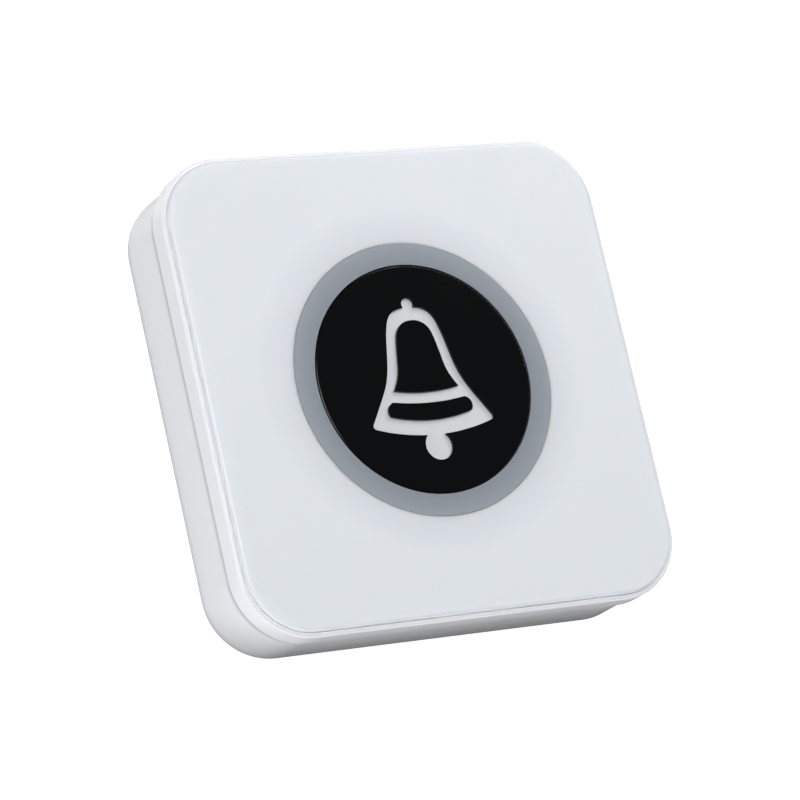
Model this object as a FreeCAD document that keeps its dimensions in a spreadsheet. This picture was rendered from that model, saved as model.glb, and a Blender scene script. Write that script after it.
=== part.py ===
import FreeCAD, Part
import math
import os
import re
import Sketcher

# A square counter call button that lies on its back: +Z is up out of the face, +Y is the top of the
# bell, and the origin is the middle of the back. Millimetres.
#
# From the front: a white cover with a milky face plate let into it, a translucent light ring flush in the
# plate, and a black button cap with a bell inlay flush in the ring. Under the cap a silicone pad and a low
# tact switch stand on the circuit board, which hangs from the cover. A 23A cell lies below the board in a
# bay of the rear housing, behind a sliding door.

Vector = FreeCAD.Vector
Rotation = FreeCAD.Rotation

SIZES = (
    # overall
    ("body_size", 70.0, "side of the square cover"),
    ("total_height", 17.5, "back to face"),
    ("corner_radius", 10.0, "cover's corners seen from the front"),
    # front cover
    ("cover_height", 4.1, "face to the cover's rim"),
    ("cover_top", 1.9, "face to the cover's underside"),
    ("cover_side", 1.5, "wall at the sides"),
    ("cover_edge_round", 0.3, "round between ledge and sides"),
    ("ring_collar_wall", 0.9, "rib that centres the light ring"),
    ("ring_collar_depth", 1.4, "height of that rib"),
    ("cover_rib", 1.0, "thickness of the corner ribs"),
    # face plate
    ("plate_thick", 1.1, ""),
    ("plate_inset", 0.72, "width of the cover's ledge round the plate"),
    ("plate_stand", 0.78, "face above that ledge"),
    ("plate_gap", 0.04, "plate to the edge of its recess"),
    ("plate_edge_round", 0.45, ""),
    # rear housing
    ("shadow_gap", 0.5, "groove between cover and housing"),
    ("housing_inset", 0.5, "housing stands in from the cover"),
    ("housing_wall", 2.0, ""),
    ("housing_floor", 2.4, ""),
    ("back_round", 4.0, "round between sides and back"),
    ("inner_round", 2.0, "round between inner wall and floor"),
    ("shoulder_round", 0.3, "round at the housing's front edge"),
    ("lap_gap", 0.1, "housing's tongue to cover"),
    ("gasket_height", 0.7, ""),
    ("gasket_width", 0.8, ""),
    ("wall_rib", 0.9, "thickness of the ribs on the side walls"),
    ("wall_rib_depth", 1.3, ""),
    ("wall_rib_pitch", 13.0, ""),
    # light ring
    ("ring_width", 3.2, "of its face"),
    ("ring_fit", 0.04, "radial gap to the cover"),
    ("ring_height", 2.6, "face to underside of the ring"),
    ("ring_flange", 1.75, "reach of the flange behind the cover"),
    # button cap
    ("cap_diameter", 33.8, ""),
    ("cap_gap", 0.15, "radial gap to the light ring"),
    ("cap_thick", 2.0, ""),
    ("cap_edge_round", 0.2, ""),
    ("cap_skirt", 1.2, "wall of the skirt"),
    ("cap_flange", 1.1, "reach of the flange that holds the cap in"),
    ("cap_flange_thick", 0.55, ""),
    ("cap_lift_gap", 0.15, "flange to the underside of the ring"),
    ("cap_rib", 0.8, ""),
    ("cap_rib_depth", 0.8, ""),
    ("button_travel", 0.5, ""),
    ("post_radius", 1.3, "post that meets the switch"),
    ("post_gap", 0.05, "post to plunger"),
    ("ear_width", 3.0, "ears that keep the bell upright"),
    ("ear_reach", 0.9, ""),
    ("ear_gap", 0.15, ""),
    # bell inlay
    ("bell_width", 19.4, ""),
    ("bell_height", 24.1, "top knob to clapper"),
    ("bell_recess", 0.4, "face of the inlay below the cap's face"),
    ("bell_thick", 0.6, ""),
    # reflector and silicone pad
    ("reflector_gap", 0.3, "reflector to cap flange"),
    ("reflector_rim", 0.7, "wall outside the windows"),
    ("led_count", 8, ""),
    ("led_length", 2.0, ""),
    ("led_width", 1.25, ""),
    ("led_height", 0.8, ""),
    ("led_window_gap", 0.3, ""),
    ("pad_gap", 1.1, "cap's skirt to the pad's foot"),
    ("pad_slope", 2.6, "head's radius less than the foot's"),
    ("pad_wall", 0.8, ""),
    ("pad_foot", 0.5, "height of the pad's foot and head"),
    ("pad_foot_width", 2.1, ""),
    ("pad_head_width", 1.6, ""),
    # tact switch
    ("switch_size", 6.0, "side of the switch"),
    ("switch_base_height", 1.1, ""),
    ("switch_floor", 0.3, ""),
    ("switch_cavity_radius", 2.3, ""),
    ("switch_cover_thick", 0.2, ""),
    ("plunger_radius", 1.6, ""),
    ("plunger_flange", 0.4, "reach of the flange under the cover"),
    ("plunger_flange_thick", 0.2, ""),
    ("plunger_gap", 0.12, "radial gap in the cover, and above the flange"),
    ("plunger_stand", 0.2, "plunger above the switch cover when it is pressed"),
    ("dome_thick", 0.08, ""),
    ("terminal_width", 0.7, ""),
    ("terminal_reach", 1.2, ""),
    ("terminal_thick", 0.2, ""),
    # circuit board
    ("board_thick", 1.0, ""),
    ("board_margin", 3.0, "board to housing wall"),
    ("board_corner_gap", 0.9, "board to the corner bosses"),
    ("board_boss_radius", 2.1, ""),
    ("board_boss_stand", 2.6, "boss centre outside the ring's flange"),
    ("board_pilot_radius", 0.75, ""),
    ("board_screw_length", 3.6, ""),
    ("board_hole_radius", 1.1, ""),
    ("board_head_radius", 1.9, ""),
    ("board_head_height", 1.1, ""),
    # corner screws
    ("well_clear", 0.78, "wells inside the flat of the back"),
    ("boss_radius", 2.7, ""),
    ("boss_foot", 10.0, "height where boss and tower meet"),
    ("boss_pilot_radius", 0.95, ""),
    ("tower_radius", 3.6, ""),
    ("tower_web", 1.6, "plastic under the screw's head"),
    ("well_radius", 2.6, ""),
    ("case_hole_radius", 1.35, ""),
    ("case_screw_length", 7.0, ""),
    ("case_head_radius", 2.2, ""),
    ("case_head_height", 1.4, ""),
    ("screw_bite", 0.02, "gap between a screw's shank and its pilot"),
    # battery and its contacts
    ("battery_diameter", 10.3, "23A cell"),
    ("battery_length", 28.5, "with its nub"),
    ("battery_nub_radius", 2.1, ""),
    ("battery_nub", 0.9, ""),
    ("battery_edge_round", 0.5, ""),
    ("battery_row", -14.0, "y of the cell's axis"),
    ("battery_lift", 1.8, "back to the cell"),
    ("battery_board_gap", 0.2, "cell to circuit board"),
    ("spring_length", 4.0, "as pressed by the cell"),
    ("spring_wire", 0.3, "radius of the wire"),
    ("spring_base_radius", 3.3, ""),
    ("spring_tip_radius", 1.7, ""),
    ("spring_turns", 3.5, ""),
    ("contact_thick", 0.4, ""),
    ("contact_width", 8.0, ""),
    ("contact_foot", 3.4, "height of the contacts' lower edge"),
    ("contact_tail", 1.4, "width of the solder tail"),
    ("tail_gap", 0.05, "tail to its slot in the board"),
    ("contact_wall_gap", 0.2, ""),
    ("contact_dimple", 0.4, ""),
    # battery bay and door
    ("bay_gap", 0.45, "cell to bay wall"),
    ("bay_wall", 1.2, ""),
    ("bay_wall_gap", 0.7, "walls and ribs to the board"),
    ("door_thick", 1.4, ""),
    ("door_seat", 1.2, "ledge that the door closes on"),
    ("door_gap", 0.2, "door to its recess"),
    ("door_corner", 1.5, ""),
    ("door_travel", 4.0, ""),
    ("tab_length", 3.0, ""),
    ("tab_thick", 0.8, ""),
    ("tab_reach", 1.0, "over the ledge"),
    ("tab_riser", 0.8, ""),
    ("tab_gap", 0.1, "tab above the ledge"),
    ("tab_spacing", 17.0, ""),
    ("cradle_length", 6.0, "ribs under the cell"),
    ("grip_depth", 0.4, ""),
    ("grip_width", 0.9, ""),
    ("grip_length", 8.0, ""),
    ("grip_pitch", 2.0, ""),
    # wall keyholes
    ("keyhole_spacing", 36.0, ""),
    ("keyhole_row", 14.0, "y of the hanging end"),
    ("keyhole_drop", 5.0, ""),
    ("keyhole_head_radius", 3.5, ""),
    ("keyhole_slot_radius", 1.8, ""),
    # parts under the circuit board
    ("resistor_length", 1.6, ""),
    ("resistor_width", 0.8, ""),
    ("resistor_height", 0.5, ""),
    ("capacitor_size", 2.0, ""),
    ("capacitor_height", 1.0, ""),
    ("part_pitch", 3.6, ""),
    ("chip_length", 8.6, ""),
    ("chip_width", 3.9, ""),
    ("chip_height", 1.5, ""),
    ("chip_standoff", 0.15, ""),
    ("lead_pitch", 1.27, ""),
    ("lead_width", 0.4, ""),
    ("lead_reach", 1.0, ""),
    ("can_radius", 4.1, ""),
    ("can_height", 3.2, ""),
    ("can_flange", 0.5, ""),
    ("transistor_length", 2.9, ""),
    ("transistor_width", 1.3, ""),
    ("transistor_height", 1.0, ""),
    ("antenna_radius", 2.2, ""),
    ("antenna_wire", 0.35, "radius of the wire"),
    ("antenna_length", 12.0, ""),
    ("antenna_turns", 6.0, ""),
    ("antenna_row", 19.2, ""),
)

doc = FreeCAD.newDocument("waiter_call_button")
sheet = doc.addObject("Spreadsheet::Sheet", "Sizes")
ALIASES = set()
for row, (alias, number, note) in enumerate(SIZES, start=1):
    sheet.set(f"A{row}", alias)
    sheet.set(f"B{row}", str(number))
    sheet.set(f"C{row}", note)
    sheet.setAlias(f"B{row}", alias)
    ALIASES.add(alias)
doc.recompute()


# ---------------------------------------------------------------------------------------------------------
# Named places, as formulas of the sizes

FACE = "total_height"
RIM = f"({FACE} - cover_height)"
UNDERSIDE = f"({FACE} - cover_top)"
LEDGE = f"({FACE} - plate_stand)"
PLATE_SEAT = f"({FACE} - plate_thick)"
SHOULDER = f"({RIM} - shadow_gap)"
RING_BOTTOM = f"({FACE} - ring_height)"
CAP_UNDER = f"({FACE} - cap_thick)"
CAP_FLANGE_TOP = f"({RING_BOTTOM} - cap_lift_gap)"
CAP_FLANGE_BOTTOM = f"({CAP_FLANGE_TOP} - cap_flange_thick)"
BOARD_BOTTOM = "(battery_lift + battery_diameter + battery_board_gap)"
BOARD_TOP = f"({BOARD_BOTTOM} + board_thick)"
TONGUE_TOP = f"({UNDERSIDE} - gasket_height)"

COVER_HALF = "(body_size / 2)"
COVER_INNER = f"({COVER_HALF} - cover_side)"
PLATE_HALF = f"({COVER_HALF} - plate_inset)"
PLATE_CORNER = "(corner_radius - plate_inset)"
HOUSING_HALF = f"({COVER_HALF} - housing_inset)"
HOUSING_INNER = f"({HOUSING_HALF} - housing_wall)"
HOUSING_CORNER = "(corner_radius - housing_inset)"
TONGUE_HALF = f"({COVER_INNER} - lap_gap)"
TONGUE_CORNER = "(corner_radius - cover_side - lap_gap)"
BOSS_PLACE = (f"({HOUSING_HALF} - {HOUSING_CORNER}"
              f" + ({HOUSING_CORNER} - back_round - well_radius - well_clear) * sqrt(0.5))")

CAP_RADIUS = "(cap_diameter / 2)"
RING_RADIUS = f"({CAP_RADIUS} + cap_gap + ring_width)"
RING_FLANGE_RADIUS = f"({RING_RADIUS} + ring_flange)"
CAP_FLANGE_RADIUS = f"({CAP_RADIUS} + cap_flange)"
EAR_RADIUS = f"({CAP_FLANGE_RADIUS} + ear_reach)"
REFLECTOR_INNER = f"({CAP_FLANGE_RADIUS} + reflector_gap)"
PAD_FOOT_RADIUS = f"({CAP_RADIUS} - cap_skirt - pad_gap)"
PAD_HEAD_RADIUS = f"({PAD_FOOT_RADIUS} - pad_slope)"
LED_RADIUS = f"({RING_FLANGE_RADIUS} - reflector_rim - led_window_gap - led_width / 2)"
BOARD_SCREW_PLACE = f"({RING_FLANGE_RADIUS} + board_boss_stand)"

SWITCH_TOP = f"({BOARD_TOP} + switch_base_height)"
SWITCH_CAVITY = f"({BOARD_TOP} + switch_floor)"
SWITCH_COVER_TOP = f"({SWITCH_TOP} + switch_cover_thick)"
PLUNGER_TOP = f"({SWITCH_COVER_TOP} + button_travel + plunger_stand)"
POST_BOTTOM = f"({PLUNGER_TOP} + post_gap)"
PLUNGER_FLANGE_TOP = f"({SWITCH_TOP} - plunger_gap / 2)"
PLUNGER_FOOT = f"({PLUNGER_FLANGE_TOP} - plunger_flange_thick)"

BATTERY_AXIS = "(battery_lift + battery_diameter / 2)"
BATTERY_END = "(spring_length + battery_length) / 2"
SPRING_PLATE = f"(-({BATTERY_END}))"
BATTERY_START = f"({SPRING_PLATE} + spring_length)"
BATTERY_NOSE = f"({BATTERY_START} + battery_length)"
CONTACT_PLANE = f"({BATTERY_NOSE} + contact_dimple)"
BAY_START = f"({SPRING_PLATE} - contact_thick - contact_wall_gap)"
BAY_STOP = f"({CONTACT_PLANE} + contact_thick + contact_wall_gap)"
BAY_HALF = "(battery_diameter / 2 + bay_gap)"
BAY_TOP = f"({BOARD_BOTTOM} - bay_wall_gap)"
DOOR_START = f"({BAY_START} - door_seat + door_gap)"
DOOR_STOP = f"({BAY_STOP} + door_seat - door_gap)"
DOOR_HALF = f"({BAY_HALF} + door_seat)"
TAB_MIDDLE = f"(({DOOR_START} + {DOOR_STOP}) / 2 - door_travel / 2)"
TAB_BOTTOM = "(housing_floor + tab_gap / 2)"


def bind(formula):
    """The formula with each size written as the sheet's cell."""
    return re.sub(r"[a-z_]+", lambda word: f"Sizes.{word[0]}" if word[0] in ALIASES else word[0], formula)


def value(formula):
    return float(sheet.evalExpression(bind(formula)))


def drive(thing, name, formula):
    """Sets a property from the sheet, and keeps it tied to it."""
    thing.setExpression(name, bind(formula))


# ---------------------------------------------------------------------------------------------------------
# Sketches

def origin_part(body, role):
    return next(part for part in body.Origin.OriginFeatures if part.Role == role)


def new_body(label):
    body = doc.addObject("PartDesign::Body", f"{label}_body")
    body.Label = label
    return body


def new_sketch(body, level="0", plane="XY_Plane"):
    sketch = body.newObject("Sketcher::SketchObject", f"{body.Label}_sketch")
    sketch.AttachmentSupport = [(origin_part(body, plane), "")]
    sketch.MapMode = "FlatFace"
    drive(sketch, "AttachmentOffset.Base.z", level)
    return sketch


def hold(sketch, geometry, vertex, place):
    """Holds a vertex of a sketch at a place, given as two formulas."""
    for kind, formula in zip(("DistanceX", "DistanceY"), place):
        limit = Sketcher.Constraint(kind, -1, 1, geometry, vertex, value(formula))
        drive(sketch, f"Constraints[{sketch.addConstraint(limit)}]", formula)


def hold_radius(sketch, geometry, radius):
    limit = Sketcher.Constraint("Radius", geometry, value(radius))
    drive(sketch, f"Constraints[{sketch.addConstraint(limit)}]", radius)


def draw_polygon(sketch, corners):
    points = [Vector(value(x), value(y), 0) for x, y in corners]
    lines = [sketch.addGeometry(Part.LineSegment(start, end), False)
             for start, end in zip(points, points[1:] + points[:1])]
    for line, following in zip(lines, lines[1:] + lines[:1]):
        sketch.addConstraint(Sketcher.Constraint("Coincident", line, 2, following, 1))
    for line, corner in zip(lines, corners):
        hold(sketch, line, 1, corner)


def draw_rectangle(sketch, low_x, low_y, high_x, high_y):
    draw_polygon(sketch, ((low_x, low_y), (high_x, low_y), (high_x, high_y), (low_x, high_y)))


def draw_circle(sketch, radius, x="0", y="0"):
    circle = Part.Circle(Vector(value(x), value(y), 0), Vector(0, 0, 1), value(radius))
    geometry = sketch.addGeometry(circle, False)
    hold(sketch, geometry, 3, (x, y))
    hold_radius(sketch, geometry, radius)


def draw_wire(sketch, radius, x, y):
    """The section of a coiled wire, as an octagon that keeps the coil's faces few."""
    draw_polygon(sketch, [(f"{x} + {radius} * cos({45 * turn})", f"{y} + {radius} * sin({45 * turn})")
                          for turn in range(8)])


def draw_rounded(sketch, low_x, low_y, high_x, high_y, radius):
    """A rectangle with round corners: four arcs from the low corner round, and the lines between them."""
    radius = f"({radius})"
    left, bottom, right, top, bend = (value(part) for part in (low_x, low_y, high_x, high_y, radius))
    quarter = math.pi / 2
    west, south, east, north = (f"{low_x} + {radius}", f"{low_y} + {radius}",
                                f"{high_x} - {radius}", f"{high_y} - {radius}")
    centres = ((west, south), (east, south), (east, north), (west, north))
    arcs = []
    for turn, (x, y) in enumerate(centres):
        circle = Part.Circle(Vector(value(x), value(y), 0), Vector(0, 0, 1), bend)
        arc = Part.ArcOfCircle(circle, (turn + 2) * quarter, (turn + 3) * quarter)
        arcs.append(sketch.addGeometry(arc, False))
    ends = ((left + bend, bottom, right - bend, bottom), (right, bottom + bend, right, top - bend),
            (right - bend, top, left + bend, top), (left, top - bend, left, bottom + bend))
    for turn, (start_x, start_y, end_x, end_y) in enumerate(ends):
        side = Part.LineSegment(Vector(start_x, start_y, 0), Vector(end_x, end_y, 0))
        line = sketch.addGeometry(side, False)
        sketch.addConstraint(Sketcher.Constraint("Tangent", arcs[turn], 2, line, 1))
        sketch.addConstraint(Sketcher.Constraint("Tangent", line, 2, arcs[(turn + 1) % 4], 1))
    for arc, centre in zip(arcs, centres):
        hold(sketch, arc, 3, centre)
    for arc in arcs[1:]:
        sketch.addConstraint(Sketcher.Constraint("Equal", arcs[0], arc))
    hold_radius(sketch, arcs[0], radius)


def draw_square(sketch, half, radius):
    draw_rounded(sketch, f"-({half})", f"-({half})", half, half, radius)


# ---------------------------------------------------------------------------------------------------------
# Features

CUTS = []


def pad(body, sketch, height):
    feature = body.newObject("PartDesign::Pad", "Pad")
    feature.Profile = sketch
    drive(feature, "Length", height)
    return feature


def cut_up(body, sketch, depth):
    """Cuts from the sketch towards +Z."""
    feature = body.newObject("PartDesign::Pocket", "Pocket")
    feature.Profile = sketch
    feature.Reversed = True
    drive(feature, "Length", depth)
    CUTS.append(feature)
    return feature


def revolve(body, sketch):
    feature = body.newObject("PartDesign::Revolution", "Revolution")
    feature.Profile = sketch
    feature.ReferenceAxis = (sketch, ["V_Axis"])
    feature.Angle = 360
    return feature


def repeat_round(body, features, count):
    """Repeats features round the Z axis; the count is a number or a formula."""
    doc.recompute()
    pattern = body.newObject("PartDesign::PolarPattern", "PolarPattern")
    pattern.Originals = features
    pattern.Axis = (origin_part(body, "Z_Axis"), [""])
    pattern.Angle = 360
    drive(pattern, "Occurrences", str(count))
    body.Tip = pattern
    return pattern


def round_edges(body, radius, chosen):
    """Rounds the edges of the body for which chosen(edge) is true."""
    doc.recompute()
    feature = body.Tip
    names = [f"Edge{index}" for index, edge in enumerate(feature.Shape.Edges, start=1) if chosen(edge)]
    rounding = body.newObject("PartDesign::Fillet", "Fillet")
    rounding.Base = (feature, names)
    drive(rounding, "Radius", radius)
    return rounding


def at_level(level, reach):
    """Chooses the edges that lie at a height and come as far out as a reach from the middle."""
    height, far = value(level), value(reach)

    def chosen(edge):
        box = edge.BoundBox
        flat = abs(box.ZMin - height) < 1e-4 and abs(box.ZMax - height) < 1e-4
        return flat and max(abs(corner) for corner in (box.XMin, box.XMax, box.YMin, box.YMax)) > far - 1e-4

    return chosen


def lay_along_x(thing, x="0", y="battery_row", z=BATTERY_AXIS, turn=90):
    """Turns what is made along Z so that it points along +X from a place, or along -X by -90."""
    thing.Placement = FreeCAD.Placement(Vector(0, 0, 0), Rotation(Vector(0, 1, 0), turn))
    for name, formula in zip("xyz", (x, y, z)):
        drive(thing, f"Placement.Base.{name}", formula)


def new_box(name, low, size):
    box = doc.addObject("Part::Box", name)
    for side, formula in zip(("Length", "Width", "Height"), size):
        drive(box, side, formula)
    for axis, formula in zip("xyz", low):
        drive(box, f"Placement.Base.{axis}", formula)
    return box


def new_cylinder(name, radius, height, base):
    cylinder = doc.addObject("Part::Cylinder", name)
    drive(cylinder, "Radius", radius)
    drive(cylinder, "Height", height)
    for axis, formula in zip("xyz", base):
        drive(cylinder, f"Placement.Base.{axis}", formula)
    return cylinder


def fuse(label, shapes):
    joined = doc.addObject("Part::MultiFuse", f"{label}_solid")
    joined.Shapes = shapes
    joined.Label = label
    return joined


def gather(label, shapes):
    """One node of several separate solids."""
    group = doc.addObject("Part::Compound", f"{label}_group")
    group.Links = shapes
    group.Label = label
    return group


# ---------------------------------------------------------------------------------------------------------
# Casing

def make_front_cover():
    body = new_body("front_cover")
    outline = new_sketch(body, RIM)
    draw_square(outline, COVER_HALF, "corner_radius")
    pad(body, outline, f"{LEDGE} - {RIM}")
    round_edges(body, "cover_edge_round", at_level(LEDGE, "0"))
    recess = new_sketch(body, PLATE_SEAT)
    draw_square(recess, f"{PLATE_HALF} + plate_gap", f"{PLATE_CORNER} + plate_gap")
    cut_up(body, recess, "plate_thick")

    hollow = new_sketch(body, RIM)
    draw_square(hollow, COVER_INNER, "corner_radius - cover_side")
    cut_up(body, hollow, "cover_height - cover_top")

    collar = new_sketch(body, f"{UNDERSIDE} - ring_collar_depth")
    draw_circle(collar, f"{RING_FLANGE_RADIUS} + ring_fit")
    draw_circle(collar, f"{RING_FLANGE_RADIUS} + ring_fit + ring_collar_wall")
    pad(body, collar, "ring_collar_depth")

    rib = new_sketch(body, f"{UNDERSIDE} - ring_collar_depth")
    start = f"({RING_FLANGE_RADIUS} + ring_collar_wall / 2) * sqrt(0.5)"
    side = "cover_rib * sqrt(0.125)"
    draw_polygon(rib, ((f"{start} + {side}", f"{start} - {side}"),
                       (f"{BOSS_PLACE} + {side}", f"{BOSS_PLACE} - {side}"),
                       (f"{BOSS_PLACE} - {side}", f"{BOSS_PLACE} + {side}"),
                       (f"{start} - {side}", f"{start} + {side}")))
    rib_pad = pad(body, rib, "ring_collar_depth")
    boss = new_sketch(body, "boss_foot")
    draw_circle(boss, "boss_radius", BOSS_PLACE, BOSS_PLACE)
    boss_pad = pad(body, boss, f"{UNDERSIDE} - boss_foot")
    board_boss = new_sketch(body, BOARD_TOP)
    draw_circle(board_boss, "board_boss_radius", BOARD_SCREW_PLACE)
    board_boss_pad = pad(body, board_boss, f"{UNDERSIDE} - {BOARD_TOP}")
    repeat_round(body, [rib_pad, boss_pad, board_boss_pad], 4)

    pilot = new_sketch(body, "boss_foot")
    draw_circle(pilot, "boss_pilot_radius", BOSS_PLACE, BOSS_PLACE)
    pilot_cut = cut_up(body, pilot, f"{UNDERSIDE} - boss_foot")
    board_pilot = new_sketch(body, BOARD_TOP)
    draw_circle(board_pilot, "board_pilot_radius", BOARD_SCREW_PLACE)
    board_pilot_cut = cut_up(body, board_pilot,
                             f"{UNDERSIDE} - {BOARD_TOP} + (cover_top - plate_thick) / 2")
    repeat_round(body, [pilot_cut, board_pilot_cut], 4)

    window = new_sketch(body, UNDERSIDE)
    draw_circle(window, f"{RING_RADIUS} + ring_fit")
    cut_up(body, window, "cover_top")
    return body


def make_face_plate():
    body = new_body("face_plate")
    outline = new_sketch(body, PLATE_SEAT)
    draw_square(outline, PLATE_HALF, PLATE_CORNER)
    pad(body, outline, "plate_thick")
    round_edges(body, "plate_edge_round", at_level(FACE, "0"))
    window = new_sketch(body, PLATE_SEAT)
    draw_circle(window, f"{RING_RADIUS} + ring_fit")
    cut_up(body, window, "plate_thick")
    return body


def make_housing_gasket():
    body = new_body("housing_gasket")
    outline = new_sketch(body, TONGUE_TOP)
    draw_square(outline, TONGUE_HALF, TONGUE_CORNER)
    draw_square(outline, f"{TONGUE_HALF} - gasket_width", f"{TONGUE_CORNER} - gasket_width")
    pad(body, outline, "gasket_height")
    return body


def make_rear_housing():
    body = new_body("rear_housing")
    outline = new_sketch(body)
    draw_square(outline, HOUSING_HALF, HOUSING_CORNER)
    pad(body, outline, SHOULDER)
    round_edges(body, "back_round", at_level("0", "0"))
    round_edges(body, "shoulder_round", at_level(SHOULDER, "0"))

    tongue = new_sketch(body, f"{SHOULDER} - shoulder_round")
    draw_square(tongue, TONGUE_HALF, TONGUE_CORNER)
    pad(body, tongue, f"{TONGUE_TOP} - {SHOULDER} + shoulder_round")
    hollow = new_sketch(body, "housing_floor")
    draw_square(hollow, HOUSING_INNER, f"{HOUSING_CORNER} - housing_wall")
    cut_up(body, hollow, FACE)
    round_edges(body, "inner_round", at_level("housing_floor", HOUSING_INNER))

    ribs = []
    for step in (-1, 0, 1):
        rib = new_sketch(body, "housing_floor")
        middle = f"({step} * wall_rib_pitch)"
        draw_rectangle(rib, f"{HOUSING_INNER} - wall_rib_depth", f"{middle} - wall_rib / 2",
                       f"{HOUSING_INNER} + housing_wall / 2", f"{middle} + wall_rib / 2")
        ribs.append(pad(body, rib, f"{BAY_TOP} - housing_floor"))
    tower = new_sketch(body, "housing_floor / 2")
    draw_circle(tower, "tower_radius", BOSS_PLACE, BOSS_PLACE)
    tower_pad = pad(body, tower, "boss_foot - housing_floor / 2")
    repeat_round(body, ribs + [tower_pad], 4)
    across, along = new_sketch(body, "housing_floor / 2"), new_sketch(body, "housing_floor / 2")
    near, far = (f"({BOSS_PLACE} + tower_radius / 2)", f"({HOUSING_INNER} + housing_wall / 4)")
    low, high = (f"({BOSS_PLACE} - wall_rib / 2)", f"({BOSS_PLACE} + wall_rib / 2)")
    draw_rectangle(across, near, low, far, high)
    draw_rectangle(along, low, near, high, far)
    webs = [pad(body, web, "boss_foot - tower_web - housing_floor / 2") for web in (across, along)]
    repeat_round(body, webs, 4)
    well = new_sketch(body)
    draw_circle(well, "well_radius", BOSS_PLACE, BOSS_PLACE)
    well_cut = cut_up(body, well, "boss_foot - tower_web")
    shank = new_sketch(body)
    draw_circle(shank, "case_hole_radius", BOSS_PLACE, BOSS_PLACE)
    shank_cut = cut_up(body, shank, "boss_foot")
    repeat_round(body, [well_cut, shank_cut], 4)

    add_battery_bay(body)
    add_keyholes(body)
    return body


def add_battery_bay(body):
    """The bay's four walls, the door's recess and ledge, and the ways for the door's tabs."""
    walls = new_sketch(body, "housing_floor / 2")
    draw_rectangle(walls, f"{BAY_START} - bay_wall", f"battery_row - {BAY_HALF} - bay_wall",
                   f"{BAY_STOP} + bay_wall", f"battery_row + {BAY_HALF} + bay_wall")
    draw_rectangle(walls, BAY_START, f"battery_row - {BAY_HALF}", BAY_STOP, f"battery_row + {BAY_HALF}")
    pad(body, walls, f"{BAY_TOP} - housing_floor / 2")

    opening = new_sketch(body)
    draw_rectangle(opening, BAY_START, f"battery_row - {BAY_HALF}", BAY_STOP, f"battery_row + {BAY_HALF}")
    cut_up(body, opening, "housing_floor")
    recess = new_sketch(body)
    draw_rounded(recess, f"{DOOR_START} - door_gap", f"battery_row - {DOOR_HALF}",
                 f"{DOOR_STOP} + door_travel + door_gap", f"battery_row + {DOOR_HALF}",
                 "door_corner + door_gap")
    cut_up(body, recess, "door_thick + tab_gap / 2")

    for end in (-1, 1):
        closed = f"({TAB_MIDDLE} + {end} * tab_spacing / 2)"
        opened = f"({closed} + door_travel)"
        slot = new_sketch(body, "housing_floor")
        draw_rectangle(slot, f"{closed} - tab_length / 2 - door_gap", f"battery_row - {DOOR_HALF}",
                       f"{opened} + tab_length / 2 + door_gap", f"battery_row + {DOOR_HALF}")
        cut_up(body, slot, "tab_thick + 2 * tab_gap")
        notch = new_sketch(body)
        draw_rectangle(notch, f"{opened} - tab_length / 2 - door_gap", f"battery_row - {DOOR_HALF}",
                       f"{opened} + tab_length / 2 + door_gap", f"battery_row + {DOOR_HALF}")
        cut_up(body, notch, "housing_floor")


def add_keyholes(body):
    """Two keyholes for hanging the button on screws: the head goes in below and slides up the slot."""
    for side in (-1, 1):
        middle = f"({side} * keyhole_spacing / 2)"
        slot = new_sketch(body)
        draw_rounded(slot, f"{middle} - keyhole_slot_radius", "keyhole_row - keyhole_drop",
                     f"{middle} + keyhole_slot_radius", "keyhole_row + keyhole_slot_radius",
                     "keyhole_slot_radius * 0.999")
        cut_up(body, slot, "housing_floor")
        head = new_sketch(body)
        draw_circle(head, "keyhole_head_radius", middle, "keyhole_row - keyhole_drop")
        cut_up(body, head, "housing_floor")


def make_battery_door():
    body = new_body("battery_door")
    plate = new_sketch(body)
    draw_rounded(plate, DOOR_START, f"battery_row - {DOOR_HALF} + door_gap",
                 DOOR_STOP, f"battery_row + {DOOR_HALF} - door_gap", "door_corner")
    pad(body, plate, "door_thick")
    for end in (-1, 1):
        middle = f"({TAB_MIDDLE} + {end} * tab_spacing / 2)"
        low_x, high_x = f"{middle} - tab_length / 2", f"{middle} + tab_length / 2"
        for side in (-1, 1):
            near = f"(battery_row + {side} * ({BAY_HALF} - door_gap))"
            inner = f"({near} - {side} * tab_riser)"
            outer = f"({near} + {side} * (door_gap + tab_reach))"
            riser = new_sketch(body, "door_thick / 2")
            draw_rectangle(riser, low_x, inner, high_x, near)
            pad(body, riser, f"{TAB_BOTTOM} + tab_thick - door_thick / 2")
            tab = new_sketch(body, TAB_BOTTOM)
            draw_rectangle(tab, low_x, inner, high_x, outer)
            pad(body, tab, "tab_thick")
        cradle = new_sketch(body, "door_thick / 2")
        draw_rectangle(cradle, f"{middle} - tab_riser", "battery_row - cradle_length / 2",
                       f"{middle} + tab_riser", "battery_row + cradle_length / 2")
        pad(body, cradle, "battery_lift - tab_gap - door_thick / 2")
    for step in range(3):
        groove = new_sketch(body)
        start = f"({DOOR_STOP} - door_corner - grip_width - {step} * grip_pitch)"
        draw_rectangle(groove, start, "battery_row - grip_length / 2",
                       f"{start} + grip_width", "battery_row + grip_length / 2")
        cut_up(body, groove, "grip_depth")
    return body


# ---------------------------------------------------------------------------------------------------------
# Light ring, button cap and bell

def make_light_ring():
    body = new_body("light_ring")
    profile = new_sketch(body, plane="XZ_Plane")
    inner = f"({CAP_RADIUS} + cap_gap)"
    draw_polygon(profile, ((inner, RING_BOTTOM), (RING_FLANGE_RADIUS, RING_BOTTOM),
                           (RING_FLANGE_RADIUS, UNDERSIDE), (RING_RADIUS, UNDERSIDE),
                           (RING_RADIUS, FACE), (inner, FACE)))
    revolve(body, profile)
    return body


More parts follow.
